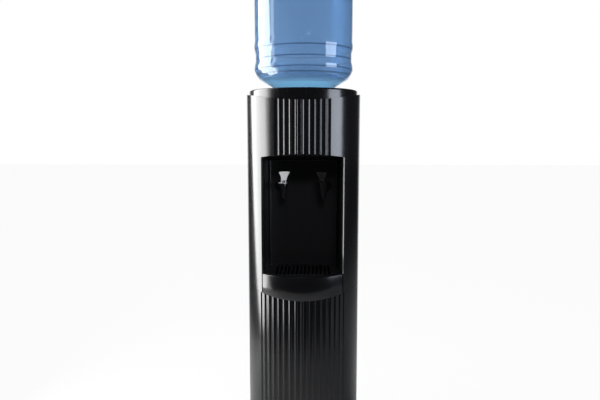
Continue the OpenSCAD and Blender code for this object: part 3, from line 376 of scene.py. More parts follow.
class Finish(Nodes):
    """One procedural material on a Principled shader, worked out from Object coordinates in metres."""

    def __init__(self, name, **constants):
        self.material = bpy.data.materials.new(name)
        self.material.use_nodes = True
        super().__init__(self.material.node_tree)
        self.shader = self.tree.nodes["Principled BSDF"]
        for key, value in constants.items():
            self.shader.inputs[key.replace("_", " ")].default_value = value
        self.spot = self.node("TexCoord", output="Object")

    def stretched(self, *scale):
        """The object's coordinates drawn out along one direction, for brushed or run marks."""
        return self.node("Mapping", {}, {"Vector": self.spot, "Scale": scale})

    def noise(self, scale, detail=2.0, rough=0.5, spot=None, output=0):
        sockets = {"Vector": spot or self.spot, "Scale": scale, "Detail": detail, "Roughness": rough}
        return self.node("TexNoise", {}, sockets, output)

    def wander(self, scale, reach):
        """The object's coordinates pushed about by a colour of noise, so that a pattern loses its lines."""
        push = self.node("VectorMath", {"operation": "SCALE"}, {0: self.noise(scale, output=1), "Scale": reach})
        return self.node("VectorMath", {"operation": "ADD"}, {0: self.spot, 1: push})

    def cells(self, scale, spot=None, output=0):
        return self.node("TexVoronoi", {}, {"Vector": spot or self.spot, "Scale": scale}, output)

    def upward(self):
        """How far the surface faces up, from -1 to 1."""
        return self.node("SeparateXYZ", {}, {0: self.node("NewGeometry", output="Normal")}, 2)

    def done(self, colour, roughness, *layers, **others):
        """Links the shader's inputs, with bumps one over another, each a height from 0 to 1 with its depth in
        metres, and gives the material."""
        normal = None
        for height, depth in layers:
            sockets = {"Height": height, "Distance": depth, "Strength": 1.0}
            if normal is not None:
                sockets["Normal"] = normal
            normal = self.node("Bump", {}, sockets)
        for key, value in dict(Base_Color=colour, Roughness=roughness, Normal=normal, **others).items():
            self.link(value, "Principled BSDF", key.replace("_", " "))
        return self.material


def rgba(colour, gain=1.0):
    return (colour[0] * gain, colour[1] * gain, colour[2] * gain, 1.0)


PALE_DUST = (0.16, 0.155, 0.145, 1.0)
DARK_DUST = (0.13, 0.125, 0.115, 1.0)
ZINC_BLOOM = (0.62, 0.62, 0.6, 1.0)
BROWN_COPPER = (0.3, 0.13, 0.07, 1.0)
COPPER_SPOT = (0.09, 0.055, 0.045, 1.0)
YELLOWED = (0.72, 0.69, 0.6, 1.0)
# Painted highlight and painted glow of the bottle's shoulder
SHOULDER_PAINTED_HIGHLIGHT = (0.42, 0.82, 1.0, 1.0)
SHOULDER_PAINTED_GLOW = (0.045, 0.055, 0.075, 1.0)
# Painted shade along the edges of the bottle's rings
RING_EDGE_PAINTED_SHADE = (0.03, 0.1, 0.25, 1.0)


def moulded(name, colour, roughness, coat, grain_depth, dust):
    """Moulded plastic: a fine spark-eroded grain, slow waves from the mould's flow, drifting gloss, sparse
    hairline rubs, and a little dust where the surface faces up."""
    f = Finish(name, Coat_Weight=coat, Coat_Roughness=0.17, IOR=1.5)
    flow = f.noise(7.0, 3.0, 0.55)
    grain = f.noise(1300.0, 2.0, 0.6)
    rubs = f.noise(260.0, 1.0, 0.4, f.stretched(1.0, 1.0, 0.03)).between(0.66, 0.72)
    settled = f.upward().between(0.55, 0.98) * f.noise(90.0, 4.0, 0.7).between(0.35, 0.75) * dust
    tone = f.tones(flow, colour, 0.86, 1.14)
    gloss = roughness + 0.07 * (flow - 0.5) + 0.03 * grain + 0.06 * rubs + 0.5 * settled
    waves = f.noise(16.0, 1.0, 0.4)
    return f.done(f.blend(settled, tone, PALE_DUST), gloss, (waves, 0.00035), (grain, grain_depth))


def powder_coat(name, colour):
    """Powder coat on sheet steel: the soft dimples of orange peel and a satin gloss that drifts."""
    f = Finish(name, IOR=1.5)
    drift = f.noise(5.0, 3.0, 0.6)
    scuff = f.noise(35.0, 5.0, 0.7).between(0.62, 0.8)
    tone = f.blend(scuff, f.tones(drift, colour, 0.88, 1.1), rgba(colour, 1.7))
    return f.done(tone, 0.34 + 0.08 * drift + 0.12 * scuff, (f.noise(420.0, 1.0, 0.5), 0.00006))


def galvanised(name, colour):
    """Zinc-coated sheet: crystals of a few millimetres that differ in tone and gloss, rolled streaks and dull
    white bloom in patches."""
    f = Finish(name, Metallic=1.0)
    crystal = f.node("SeparateColor", {}, {0: f.cells(150.0, f.wander(60.0, 0.006), 1)}, 0)
    streak = f.noise(30.0, 4.0, 0.6, f.stretched(1.0, 1.0, 0.05))
    bloom = f.noise(9.0, 6.0, 0.7).between(0.52, 0.72)
    tone = f.blend(bloom * 0.5, f.tones(crystal, colour, 0.74, 1.12), ZINC_BLOOM)
    gloss = 0.3 + 0.16 * crystal + 0.08 * streak + 0.2 * bloom
    return f.done(tone, gloss, (crystal, 0.00002), (streak, 0.00003))


def brushed(name, colour, along=(1.0, 1.0, 0.04), roughness=0.24):
    """Drawn or brushed metal: long fine lines in one direction, and faint water marks."""
    f = Finish(name, Metallic=1.0)
    lines = f.noise(900.0, 3.0, 0.6, f.stretched(*along))
    marks = f.noise(40.0, 4.0, 0.6).between(0.55, 0.75)
    tone = f.tones(lines, colour, 0.86, 1.05)
    return f.done(tone, roughness + 0.14 * lines + 0.12 * marks, (lines, 0.00001))


def aged_copper(name, colour):
    """Copper tube: bright where it was drawn, brown where it has been handled, darkened in patches."""
    f = Finish(name, Metallic=1.0)
    handled = f.noise(28.0, 5.0, 0.65).between(0.38, 0.7)
    spots = f.noise(160.0, 3.0, 0.6).between(0.6, 0.72)
    tone = f.blend(spots * 0.7, f.blend(handled, rgba(colour), BROWN_COPPER), COPPER_SPOT)
    return f.done(tone, 0.22 + 0.22 * handled + 0.2 * spots, (f.noise(700.0, 2.0, 0.5), 0.00001))


def enamel(name, colour):
    """Dipped black enamel: small runs and pinholes, dust that dulls what faces up."""
    f = Finish(name, IOR=1.52)
    runs = f.noise(40.0, 3.0, 0.5, f.stretched(1.0, 1.0, 0.3))
    dust = f.upward().between(0.2, 0.95) * f.noise(70.0, 5.0, 0.7).between(0.3, 0.7)
    tone = f.blend(dust * 0.45, rgba(colour), DARK_DUST)
    pinholes = f.noise(900.0, 1.0, 0.5)
    return f.done(tone, 0.32 + 0.12 * runs + 0.35 * dust, (runs, 0.0001), (pinholes, 0.00001))


def rubbery(name, colour):
    """Black rubber: dull, with a faint bloom and a moulded grain."""
    f = Finish(name, IOR=1.5)
    bloom = f.noise(55.0, 4.0, 0.6).between(0.45, 0.8)
    tone = f.tones(bloom * 0.5, colour, 1, 2.6)
    return f.done(tone, 0.72 + 0.14 * bloom, (f.noise(1100.0, 2.0, 0.6), 0.00004))


def beaded_foam(name, colour):
    """Insulation of pressed beads: each bead swells a little and the joints between them are darker."""
    f = Finish(name)
    bead = f.cells(230.0)
    tone = f.tones(bead.between(0.45, 0.8), colour, 1, 0.72)
    return f.done(tone, 0.82 + 0.1 * bead, (1.0 - bead, 0.0007))


def milky_tube(name, colour):
    """Silicone tube: milky, with a soft gloss and slight unevenness."""
    f = Finish(name, IOR=1.41, Subsurface_Weight=0.35, Subsurface_Radius=[0.006] * 3)
    cloud = f.noise(60.0, 3.0, 0.5)
    tone = f.tones(cloud, colour, 0.93, 1.04)
    return f.done(tone, 0.36 + 0.1 * cloud, (f.noise(500.0, 2.0, 0.5), 0.00002))


def pale_moulding(name, colour):
    """Off-white moulded plastic that lets a little light in: fine grain, faint yellowing and flow marks."""
    f = Finish(name, IOR=1.49, Coat_Weight=0.25, Subsurface_Weight=0.12, Subsurface_Radius=[0.003] * 3)
    flow = f.noise(24.0, 3.0, 0.55)
    aged = f.noise(70.0, 4.0, 0.6).between(0.55, 0.85)
    tone = f.blend(aged * 0.3, f.tones(flow, colour, 0.95, 1.03), YELLOWED)
    return f.done(tone, 0.3 + 0.1 * flow, (f.noise(1200.0, 2.0, 0.6), 0.00002), (flow, 0.0001))


def clear_shell(name, colour):
    """Tinted polycarbonate: slightly uneven from blow moulding, with scuffs where bottles rub. Painted shade
    darkens bands along its rings' edges, standing in for how the rings bend light, with a little of the deeper
    tint of a thicker wall there: 1 at each edge's height, less the square of the distance. The shoulder has a
    painted highlight, a paler tone, and a painted glow from emission, standing in for light scattered in the
    full bottle."""
    # Emission here lights only the painted glow of the shoulder
    f = Finish(name, IOR=1.58, Transmission_Weight=0.8, Coat_Weight=0.4, Coat_Roughness=0.06,
               Emission_Strength=1.0)
    pull = f.noise(14.0, 2.0, 0.5, f.stretched(1.0, 1.0, 0.4))
    scuff = f.noise(120.0, 4.0, 0.7).between(0.6, 0.82)
    height = f.node("SeparateXYZ", {}, {0: f.spot}, 2)
    # Painted shade: bands along the rings' edges that stand in for how the rings bend light, with a little of
    # the deeper tint of a thicker wall there
    thick = 0.0
    for edge in (1.042, 1.0556, 1.0826, 1.1096, 1.398):
        near = 1.0 - ((height - edge) * (height - edge)) / 0.0000045
        thick = near.most(thick)
    # Painted highlight and painted glow: the shoulder gets a paler tone and emission, standing in for light
    # scattered in the full bottle
    shoulder = height.between(1.034, 1.02)
    tone = f.blend(shoulder, f.tones(pull, colour, 0.92, 1.08), SHOULDER_PAINTED_HIGHLIGHT)
    glow = f.blend(shoulder, rgba((0.0, 0.0, 0.0)), SHOULDER_PAINTED_GLOW)
    return f.done(f.blend(thick * 0.75, tone, RING_EDGE_PAINTED_SHADE), 0.04 + 0.05 * pull + 0.2 * scuff, (pull, 0.0009),
                  Emission_Color=glow)


# The function of each finish, its material's name, the panel's colour for it, and what else the function takes
LOOKS = {
    "cabinet": (moulded, "cabinet_plastic", "cabinet", 0.2, 1.0, 0.000006, 0.03),
    "liner": (moulded, "liner_plastic", "liner", 0.3, 0.1, 0.000012, 0.02),
    "tap": (moulded, "tap_plastic", "black", 0.14, 1.0, 0.000004, 0.01),
    "black": (moulded, "black_plastic", "black", 0.25, 0.6, 0.00001, 0.02),
    "sheet": (powder_coat, "coated_sheet", "sheet"),
    "zinc": (galvanised, "galvanised_sheet", "zinc"),
    "steel": (brushed, "brushed_steel", "steel"),
    "wire": (brushed, "spring_steel", "steel", (1.0, 1.0, 1.0), 0.2),
    "copper": (aged_copper, "copper_tube", "copper"),
    "brass": (brushed, "brass_pin", "brass", (1.0, 0.04, 1.0), 0.2),
    "enamel": (enamel, "black_enamel", "enamel"),
    "rubber": (rubbery, "black_rubber", "rubber"),
    "foam": (beaded_foam, "white_foam", "foam"),
    "silicone": (milky_tube, "milky_silicone", "silicone"),
    "pale": (pale_moulding, "pale_plastic", "pale"),
    "bottle": (clear_shell, "blue_bottle", "bottle"),
}
FINISHES = {}


def finish(name):
    """The named finish, made when it is first asked for."""
    if name not in FINISHES:
        make, title, colour_name, *others = LOOKS[name]
        FINISHES[name] = make(title, getattr(bpy.context.scene.cooler_colours, colour_name), *others)
    return FINISHES[name]


# Sizes and colours that a user would change


def length(name, about, default, low, high):
    return FloatProperty(
        name=name, description=about, default=default * MM, min=low * MM, max=high * MM, unit="LENGTH")


def colour(name, what, default):
    return FloatVectorProperty(
        name=name, description="Colour of the " + what, default=default, min=0, max=1, size=3, subtype="COLOR")


def power(name, what, default):
    return FloatProperty(name=name, description="Power of the " + what, default=default, unit="POWER")


class CoolerSizes(bpy.types.PropertyGroup):
    """Sizes of the dressed pieces."""

    seam_arc: length("Seam arc", "Radius of the shallow arcs of both seams", 600, 540, 800)
    flute_width: length("Groove width", "Width of one groove at its mouth", 12.4, 11, 13)
    flute_wall: length("Groove wall", "Width of one sloped wall of a groove", 2.7, 2, 3.4)
    flute_depth: length("Groove depth", "Depth of one groove", 2.3, 1.6, 2.4)
    panel_wall: length("Panel wall", "Wall of the moulded front panels", 3.5, 3.2, 4)
    panel_edge: length("Panel edge", "Rounding of the moulded panels' edges", 0.6, 0.3, 1.4)
    collar_edge: length("Collar edge", "Rounding of the collar's outer edge", 5, 4, 6)
    bottle_radius: length("Bottle radius", "Radius of the bottle's wall", 134.5, 132, 136)
    bottle_wall: length("Bottle wall", "Wall of the bottle", 1.5, 1.2, 2)
    wire_width: length("Wire", "Thickness of one condenser wire", 1.6, 1.2, 2)


class CoolerColours(bpy.types.PropertyGroup):
    """Colours of the finishes and level of the light."""

    cabinet: colour("Cabinet", "cabinet's moulded panels", (0.0024, 0.0024, 0.0031))
    liner: colour("Niche", "niche and its liner", (0.006, 0.006, 0.0068))
    black: colour("Black parts", "right tap, guard and knob", (0.004, 0.004, 0.0045))
    sheet: colour("Sheet", "coated side panels", (0.022, 0.022, 0.024))
    pale: colour("Pale parts", "left lever, cap and lid", (0.72, 0.73, 0.73))
    bottle: colour("Bottle", "bottle", (0.34, 0.53, 0.76))
    zinc: colour("Zinc", "galvanised sheet", (0.52, 0.53, 0.54))
    steel: colour("Steel", "bare steel", (0.6, 0.6, 0.61))
    copper: colour("Copper", "clean copper tube", (0.78, 0.36, 0.22))
    brass: colour("Brass", "inlet's pins", (0.78, 0.57, 0.25))
    enamel: colour("Enamel", "compressor and condenser", (0.012, 0.012, 0.012))
    rubber: colour("Rubber", "feet and grommets", (0.014, 0.014, 0.014))
    foam: colour("Foam", "insulation", (0.8, 0.8, 0.77))
    silicone: colour("Tube", "water tubes", (0.78, 0.79, 0.78))
    floor: colour("Floor", "floor", (0.86, 0.86, 0.86))
    left_light: power("Left light", "left softbox", 26.5)
    right_light: power("Right light", "right softbox", 13.0)
    fill_light: power("Fill light", "weak left fill", 2.1)
    front_light: power("Front light", "narrow front light", 3.0)
    top_light: power("Top light", "overhead softbox", 8.0)
    world_light: FloatProperty(name="World", description="Level all round", default=0.03, min=0, max=1)


def sizes_mm():
    """The panel's sizes in the millimetres that the shapes are worked out in."""
    group = bpy.context.scene.cooler_sizes
    return SimpleNamespace(**{name: getattr(group, name) / MM for name in CoolerSizes.__annotations__})


# Pieces


def groove_radius(angle, count, pitch, sizes):
    """Distance of the fluted front from its axis at an angle from the middle, in degrees. A groove's depth is
    its wall's slope times the distance inside its mouth, held between nothing and the full depth. The mean
    over a short span rounds the ridges and the floor's edges."""
    middle = (count - 1) / 2
    nearest = np.clip(np.round(angle / pitch + middle), 0, count - 1)
    off = np.abs(np.radians(angle - (nearest - middle) * pitch)) * FRONT_R
    reach = 2.3
    span = np.linspace(-reach, reach, 24)
    weight = np.cos(span / reach * np.pi / 2) ** 2
    cut = np.clip((sizes.flute_width / 2 - off[:, None] - span) / sizes.flute_wall, 0, 1)
    return FRONT_R - sizes.flute_depth * (cut * weight).sum(1) / weight.sum()


def on_front(angle, radius, z):
    a = np.radians(angle)
    return np.stack(np.broadcast_arrays(radius * np.sin(a), -radius * np.cos(a), z), -1)


def front_angles(fine_to):
    """Angles across the round front: fine between the outermost grooves and wider towards the side panels."""
    side = spaced(fine_to, math.degrees(math.acos(2 / FRONT_R)), 2.0, 0.8)
    middle = np.arange(-fine_to, fine_to + 1e-6, fine_to * 2 / round(fine_to * 2 / 0.24))
    return np.concatenate([-side[::-1], middle[1:-1], side])


def upper_shell(sizes):
    """The upper front: a grid of angles and heights between the niche's arched top and the top seam, with a
    rim that runs inwards along the seam, and one leg down to the lower seam on each side of the niche."""
    arc = sizes.seam_arc
    corner = math.degrees(math.asin(NICHE_MOUTH / FRONT_R))
    angle = front_angles(corner)
    radius = groove_radius(angle, *UPPER_FLUTES, sizes)
    x = radius * np.sin(np.radians(angle))
    arch = NICHE_TOP - seam_rise(np.clip(x, -NICHE_MOUTH, NICHE_MOUTH), arc)
    top = TOP_SEAM + seam_rise(x, arc)
    upper = on_front(angle, radius, arch + (top - arch) * spaced(0, 1, 0.09, 0.018)[:, None])
    inward = radius + (HOLE_R - radius) * np.array([0.15, 0.5, 1.0])[:, None]
    rim = on_front(angle, inward, TOP_SEAM + seam_rise(inward * np.sin(np.radians(angle)), arc))
    shape = Shape().grid(np.concatenate([upper, rim]))
    for leg in (angle <= -corner + 1e-6, angle >= corner - 1e-6):
        low = LOWER_SEAM + seam_rise(x[leg], arc)
        heights = low + (arch[leg] - low) * spaced(0, 1, 0.07, 0.0075)[:, None]
        shape.grid(on_front(angle[leg], radius[leg], heights))
    return walled(shape.made("front_upper_shell", closed=False), sizes.panel_wall, sizes.panel_edge)


def lower_panel(sizes):
    """The lower front: a grid of angles and heights from its lower edge to just under the lower seam's
    arc."""
    angle = front_angles(51.0)
    radius = groove_radius(angle, *LOWER_FLUTES, sizes)
    top = LOWER_SEAM - 0.5 + seam_rise(radius * np.sin(np.radians(angle)), sizes.seam_arc)
    points = on_front(angle, radius, PANEL_FOOT + (top - PANEL_FOOT) * spaced(0, 1, 0.08, 0.006)[:, None])
    piece = Shape().grid(points).made("front_lower_panel", closed=False)
    return walled(piece, sizes.panel_wall, sizes.panel_edge)


def collar(sizes):
    """The collar: a section turned about the axis, whose two lower ends, marked by a height below 0, follow
    the saddle of the top seam."""
    out, top = COLLAR_R, COLLAR_TOP
    outline = rounded(
        [[out, -1], [out, top], [104, top], [104, top - 10], [99, top - 10], [99, top - 13], [107, top - 13],
         [107, top - 3], [out - 3, top - 3], [out - 3, -1]],
        [0, sizes.collar_edge, 1.2, 0.6, 0.8, 0.8, 1, 1, 1, 0], 7)
    a = circle(192)
    radius, height = outline[:, :1], outline[:, 1:]
    z = np.where(height < 0, TOP_SEAM + SEAT + seam_rise(radius * np.cos(a), sizes.seam_arc), height)
    return Shape().ring(turned_points(radius, z, a)).made("collar")


def top_frame(sizes):
    """The rear half of the top: a section at each angle, from the round hole out to the cabinet's edges and
    back below. It lies on the saddle of the top seam; a high power of the two sides rounds the rear
    corners."""
    turn = np.radians(np.concatenate([[0.0], np.linspace(1.5, 178.5, 119), [180.0]]))
    c, s = np.cos(turn), np.sin(turn)
    front, rear, power, thick = -1.7, 156.0, 14.0, 4.1
    reach = (np.abs(c / FRONT_R) ** power + np.abs(s / rear) ** power) ** (-1 / power)
    inner, outer = np.stack([HOLE_R * c, HOLE_R * s], 1), np.stack([reach * c, reach * s], 1)
    for ring in (inner, outer):
        ring[[0, -1], 1] = front
    flat = inner[:, None] + (outer - inner)[:, None] * np.array([0.0, 0.12, 0.5, 0.88, 1.0])[:, None]
    z = TOP_SEAM + seam_rise(flat[..., :1], sizes.seam_arc)
    over, under = np.concatenate([flat, z], -1), np.concatenate([flat, z - thick], -1)
    return softened(Shape().bar(np.concatenate([over, under[:, ::-1]], 1)).made("top_frame"), 0.9)


def wall_half_width(y, inset):
    """Half the niche's width at y: the mouth's half width less the walls' draft."""
    mouth_y = math.sqrt(FRONT_R**2 - NICHE_MOUTH**2)
    draft = (WALL_FRONT - WALL_BACK) / (NICHE_BACK_Y + mouth_y)
    return WALL_FRONT - draft * (y + mouth_y) - inset


def wall_end(inset, arc_r, middle=0.0, way=-1):
    """Where the niche's walls meet an arc about a middle on the y axis, which is where repeated substitution
    settles: half the width there, and y."""
    x = 100.0
    for _ in range(30):
        x = wall_half_width(middle + way * math.sqrt(arc_r**2 - x**2), inset)
    return x, middle + way * math.sqrt(arc_r**2 - x**2)


def niche_outline(inset, front_r, corner=7.0):
    """Closed plan of the niche: the left wall, the back's arc, the right wall and the front's arc, with
    quadratic curves round the two rear corners. Also gives how many points come before the front's arc."""
    back_r = NICHE_BACK_R - inset
    (xf, yf), (xb, yb) = wall_end(inset, front_r), wall_end(inset, back_r, NICHE_BACK_MID, 1)
    front, rear = np.array([-xf, yf]), np.array([-xb, yb])
    along = (front - rear) / np.linalg.norm(front - rear)
    wall = front + (rear + corner * along - front) * np.linspace(0, 1, 8)[:, None]
    end = math.degrees(math.asin(xb / back_r)) - math.degrees(corner / back_r)
    back = arc_points(back_r, 90 + end, 90 - end, 36, (0, NICHE_BACK_MID))
    left = np.concatenate([wall, bent(wall[-1], rear, back[0], np.linspace(0, 1, 8)[1:-1, None])])
    edge = math.degrees(math.asin(xf / front_r))
    walls = np.concatenate([left, back, left[::-1] * [-1, 1]])
    return np.concatenate([walls, arc_points(front_r, edge - 90, -90 - edge, 42)[1:-1]]), len(walls)


def niche_liner():
    """The niche: rings of its plan from the floor to the sloped ceiling, drawn in along two small roundings,
    open at the front, with a strip behind the panel on each side of the mouth."""
    small, floor_z, r = 5.0, 465.7, PANEL_BACK_R
    turn = np.radians(np.linspace(0, 90, 6))
    plan, walls = niche_outline(0, r)
    rings = []
    for a in turn:
        ring, _ = niche_outline(small * (1 - math.sin(a)), r)
        rings.append(at_height(ring, floor_z + small * (1 - math.cos(a))))
    rings += [at_height(plan, z) for z in np.linspace(500, 800, 7)]
    for a in turn:
        ring, _ = niche_outline(small * (1 - math.cos(a)), r)
        ceiling = 811 + (NICHE_BACK_Y - ring[:, 1]) * 21 / (NICHE_BACK_Y + FRONT_R)
        rings.append(at_height(ring, ceiling - small * (1 - math.sin(a))))
    keep = np.arange(len(plan)) < walls - 1
    shape = Shape().grid(rings, close_cols=True, keep=keep, caps=True, flip=True)
    edge = math.degrees(math.asin(abs(plan[0, 0]) / r))
    for side in (-1, 1):
        strip = on_front(side * np.linspace(edge, edge + 5.5, 6), r, np.linspace(470, 826, 12)[:, None])
        shape.grid(strip, flip=side < 0)
    return walled(shape.made("niche_liner", closed=False), 2.5, 0.4, 2)


def drip_tray(sizes):
    """The tray: rings of the niche's plan, from the underside up the outside, over the rim and into the bowl.
    Along the front they reach out to the cabinet's face and down to the lower seam's arc."""

    def ring(front_r, inset, z, apron=None):
        plan, walls = niche_outline(inset, front_r, 6.0)
        heights = np.full(len(plan), float(z))
        if apron is not None:
            low = LOWER_SEAM + apron + seam_rise(plan[:, 0], sizes.seam_arc)
            heights[walls:] = low[walls:]
            heights[[0, walls - 1]] = low[0]
        return at_height(plan, heights)

    lean, r, gap = 1.3, FRONT_R, TRAY_GAP
    rows = [(155, gap, 466), (155, gap, 466, 0), (157.5, gap, 466, 0), (r, gap, 466.5, 0.5), (r, gap, 480),
            (r, gap, SILL - lean)]
    for a in np.radians([30, 60, 90]):
        back = 1 - math.cos(a)
        rows.append((r - lean * back, gap + 0.5 * back, SILL - lean * (1 - math.sin(a))))
    rows += [(140, 1.6, SILL), (138.6, 2.2, SILL - 0.25), (138, 2.8, SILL - 1), (138, 2.8, 502.7),
             (134, 6.8, 502.7), (134, 6.8, 474), (131, 9.8, 469), (126, 14.8, 468)]
    return Shape().bar([ring(*row) for row in rows]).made("drip_tray", crease=50.0)


def drip_grille():
    """The grille: a grid of columns at the slots' edges and rows at the front arc, the slots' two ends and
    the back arc. The cells of the slots stay open."""
    inset = TRAY_GAP + 2 + 0.5
    front_r, back_r = 137.5, NICHE_BACK_R - inset
    slots = (np.arange(GRILLE_SLOTS) - (GRILLE_SLOTS - 1) / 2) * SLOT_PITCH
    edges = np.sort(np.concatenate([slots - SLOT_HALF, slots + SLOT_HALF]))
    outer = np.array([wall_end(inset, front_r)[0], *(wall_half_width(y, inset) for y in SLOT_ENDS),
                      wall_end(inset, back_r, NICHE_BACK_MID, 1)[0]])
    side = edges[-1] + (outer - edges[-1]) * np.linspace(0, 1, 7)[1:, None]
    x = np.concatenate([-side[::-1], np.repeat(edges[:, None], 4, 1), side]).T
    front = -np.sqrt(front_r**2 - x[0] ** 2)
    back = NICHE_BACK_MID + np.sqrt(back_r**2 - x[3] ** 2)
    y = np.stack([front, np.maximum(SLOT_ENDS[0], front), np.full(len(front), SLOT_ENDS[1]), back])
    keep = np.ones((3, len(front) - 1), bool)
    keep[1, len(side) : len(side) + len(edges) - 1 : 2] = False
    shape = Shape().grid(np.stack([x, y, np.full(x.shape, SILL - 2.5)], -1), keep=keep)
    return walled(shape.made("drip_grille", closed=False), 3.0, 0.6, 2)


def bottle(sizes):
    """The bottle: its outline turned about the axis, up the outside from the neck's mouth to the middle of
    its upper end and back down the inside, one wall further in."""
    radius, wall, top = sizes.bottle_radius, sizes.bottle_wall, BOTTLE_TOP
    neck_top = SHOULDER_Z - (SHOULDER_R - 28) * math.tan(math.radians(30))
    side = np.array([
        [SHOULDER_R, SHOULDER_Z], [radius - 30, 1020], [radius - 12.5, 1030.5], [radius - 4.5, 1041.5],
        [radius + 1.3, 1053], [radius + 1.3, 1064], [radius - 2, 1078], [radius - 2, 1099], [radius + 1.5, 1114],
        [radius + 1.5, 1121], [radius - 0.2, 1134], [radius, 1152], [radius, 1384], [radius - 3, 1398],
        [radius - 12, top - 6]])
    inside = side - [wall, 0]
    inside[0, 1] += 1.2
    outer = [[28, MOUTH_Z], [28, neck_top], *side, [radius - 26, top], [radius - 40, top],
             [radius - 52, top - 6], [0, top - 6]]
    inner = [[25, MOUTH_Z], [25, neck_top + 1], *inside, [radius - 27, top - wall], [radius - 39, top - wall],
             [radius - 51, top - 6 - wall], [0, top - 6 - wall]]
    radii = [0, 5, 9] + [14] * 2 + [10] * 4 + [5] * 2 + [4] * 3 + [12] * 4 + [8, 5, 5, 0]
    outer, inner = (rounded(rows, radii[: len(rows)], 9) for rows in (outer, inner))
    return Shape().turned(np.concatenate([outer, inner[::-1]]), 160).made("bottle", crease=60.0)


def bottle_cap():
    """The cap: a closed section turned about the axis, with ribs around its skirt."""
    outline = rounded(
        [[8, 927.4], [30.2, 927.4], [30.2, 953.4], [28.2, 953.4], [28.2, 929.4], [9.5, 929.4], [9.5, 945.7],
         [8, 945.7], [8, 927.4]], 0.5, 4)
    radius, height, a = outline[:, :1], outline[:, 1:], circle(288)
    ribs = np.where((radius > 30.0) & (height < 951), 0.45 * (0.5 + 0.5 * np.cos(72 * a)), 0)
    return Shape().ring(turned_points(radius - ribs, height, a)).made("bottle_cap")


def tap_body(side, name):
    """A tap: a tapering spout turned about the tap's axis with its passage, a round flange against the
    niche's back and a threaded shank through it."""
    place = at_tap(side)
    spout = rounded(
        [[4.5, 706], [7, 706], [7.6, 710], [9.4, 722], [12.2, 738], [13, 742], [13, 747], [8, 747], [8, 726],
         [4.5, 726], [4.5, 706]],
        [0, 1.1, 6, 12, 6, 2, 0.8, 0.5, 0.5, 0.5, 0], 5)
    thread = [[8 - 0.45 * (k % 2), 60.6 + 1.25 * k / 2] for k in range(26)]
    neck = [[0, 4], [8, 4], [9.6, 16], [8.4, 30], [8.4, 45], [13, 51.2], [13, 54.2], [8, 54.3], [8, 60.5],
            *thread, [5.5, 77.2], [5.5, 93.2], [4, 93.2], [4, 60], [0, 60]]
    shank = rounded(neck, [0, 1, 6, 8, 3, 1.2, 0.8, 0, 0] + [0] * 26 + [0.3, 0.5, 0.3, 0, 0], 4)
    lying = turned_points(shank[:, :1], shank[:, 1:], circle(48))[..., [0, 2, 1]] + [0, 0, SHANK_Z]
    return Shape().turned(spout, 64, place).grid(place(lying), close_cols=True).made(name, crease=35.0)


def bonnet(side, name):
    """A bonnet: a stepped plug turned about the tap's axis, bored for the stem, with two ears for the pin."""
    disc = rounded(
        [[2.55, 742.7], [7.7, 742.7], [7.7, 747.3], [12.5, 747.3], [12.5, 749.5], [2.55, 749.5], [2.55, 742.7]],
        [0, 0.5, 0.2, 0.7, 0.9, 0.3, 0], 4)
    shape = Shape().turned(disc, 56, at_tap(side))
    ear = np.concatenate([[[3.0, -10.1], [-2.2, -10.1]], arc_points(3.2, 200, 20, 13)])
    for s in (-1, 1):
        x = s * (HUB_HALF + 0.3 + EAR_HALF)
        shape.bar(at_pivot(side)(np.array([at_side(ear, x + d) for d in (-EAR_HALF, EAR_HALF)])))
    return softened(shape.made(name), 0.3, 2)


def lever(side, name):
    """A lever: a paddle whose outline widens towards its tip, with a rounded section, a shallow dish and a
    slight curl, on a hub around the pin with a tail that goes into the stem's slot."""
    leant = at_pivot(side, math.radians(18))
    h = np.linspace(0.8, 24, 22)[:, None]
    half = 8 + (33.5 - 16) / 2 * np.clip((h - 4) / 20, 0, 1) ** 1.5
    half = half * np.sqrt(np.clip(1 - np.clip((h - 22.2) / 2.6, 0, 1) ** 2, 0.02, 1))
    c, s = np.cos(circle(40)), np.sin(circle(40))
    x = half * (np.sign(c) * np.abs(c) ** 0.35)
    dish = 0.5 * (1 - np.clip(np.abs(x) / 17, 0, 1) ** 2) * np.clip(h / 20, 0, 1)
    y = -HUB_R - 1.5 + 1.45 * (np.sign(s) * np.abs(s) ** 0.6) + dish
    shape = Shape().bar(leant(np.stack([x, y, np.broadcast_to(h, x.shape)], -1)))
    block = np.array([[-4, -4.8], [4, -4.8], [4, 0], [-4, 0]])
    shape.bar(leant(np.array([at_height(block, z) for z in (-2.6, 2.6)])))
    hub, bore = (arc_points(r, 0, 352.5, 48) for r in (HUB_R, 1.55))
    ends_of = ((hub, -HUB_HALF), (hub, HUB_HALF), (bore, HUB_HALF), (bore, -HUB_HALF))
    shape.ring(at_pivot(side)(np.array([at_side(*row) for row in ends_of])))
    tail = np.array([[-1.8, 0, -1.2], [1.8, 0, -1.2], [1.8, 0, 1.2], [-1.8, 0, 1.2]])
    run = [tail * k + [0, y, 0] for y, k in ((2.5, 1), (PIVOT_BACK + 4, 1), (PIVOT_BACK + 5, 0.6))]
    shape.bar(at_pivot(side, -HALF_TURN)(np.array(run)))
    return softened(shape.made(name, crease=60.0), 0.35, 2, 60.0)


def spring(side, name):
    """A tap's spring: a round wire along a helix."""
    wire, turns, radius = 0.58, 4, 6.2
    low, high = ends(name)
    t = np.linspace(0, turns, turns * 32 + 1)
    z = low + wire + (high - low - 2 * wire) * t / turns
    return Shape().swept(at_tap(side)(turned_points(radius, z, 2 * np.pi * t)), wire, 10).made(name)


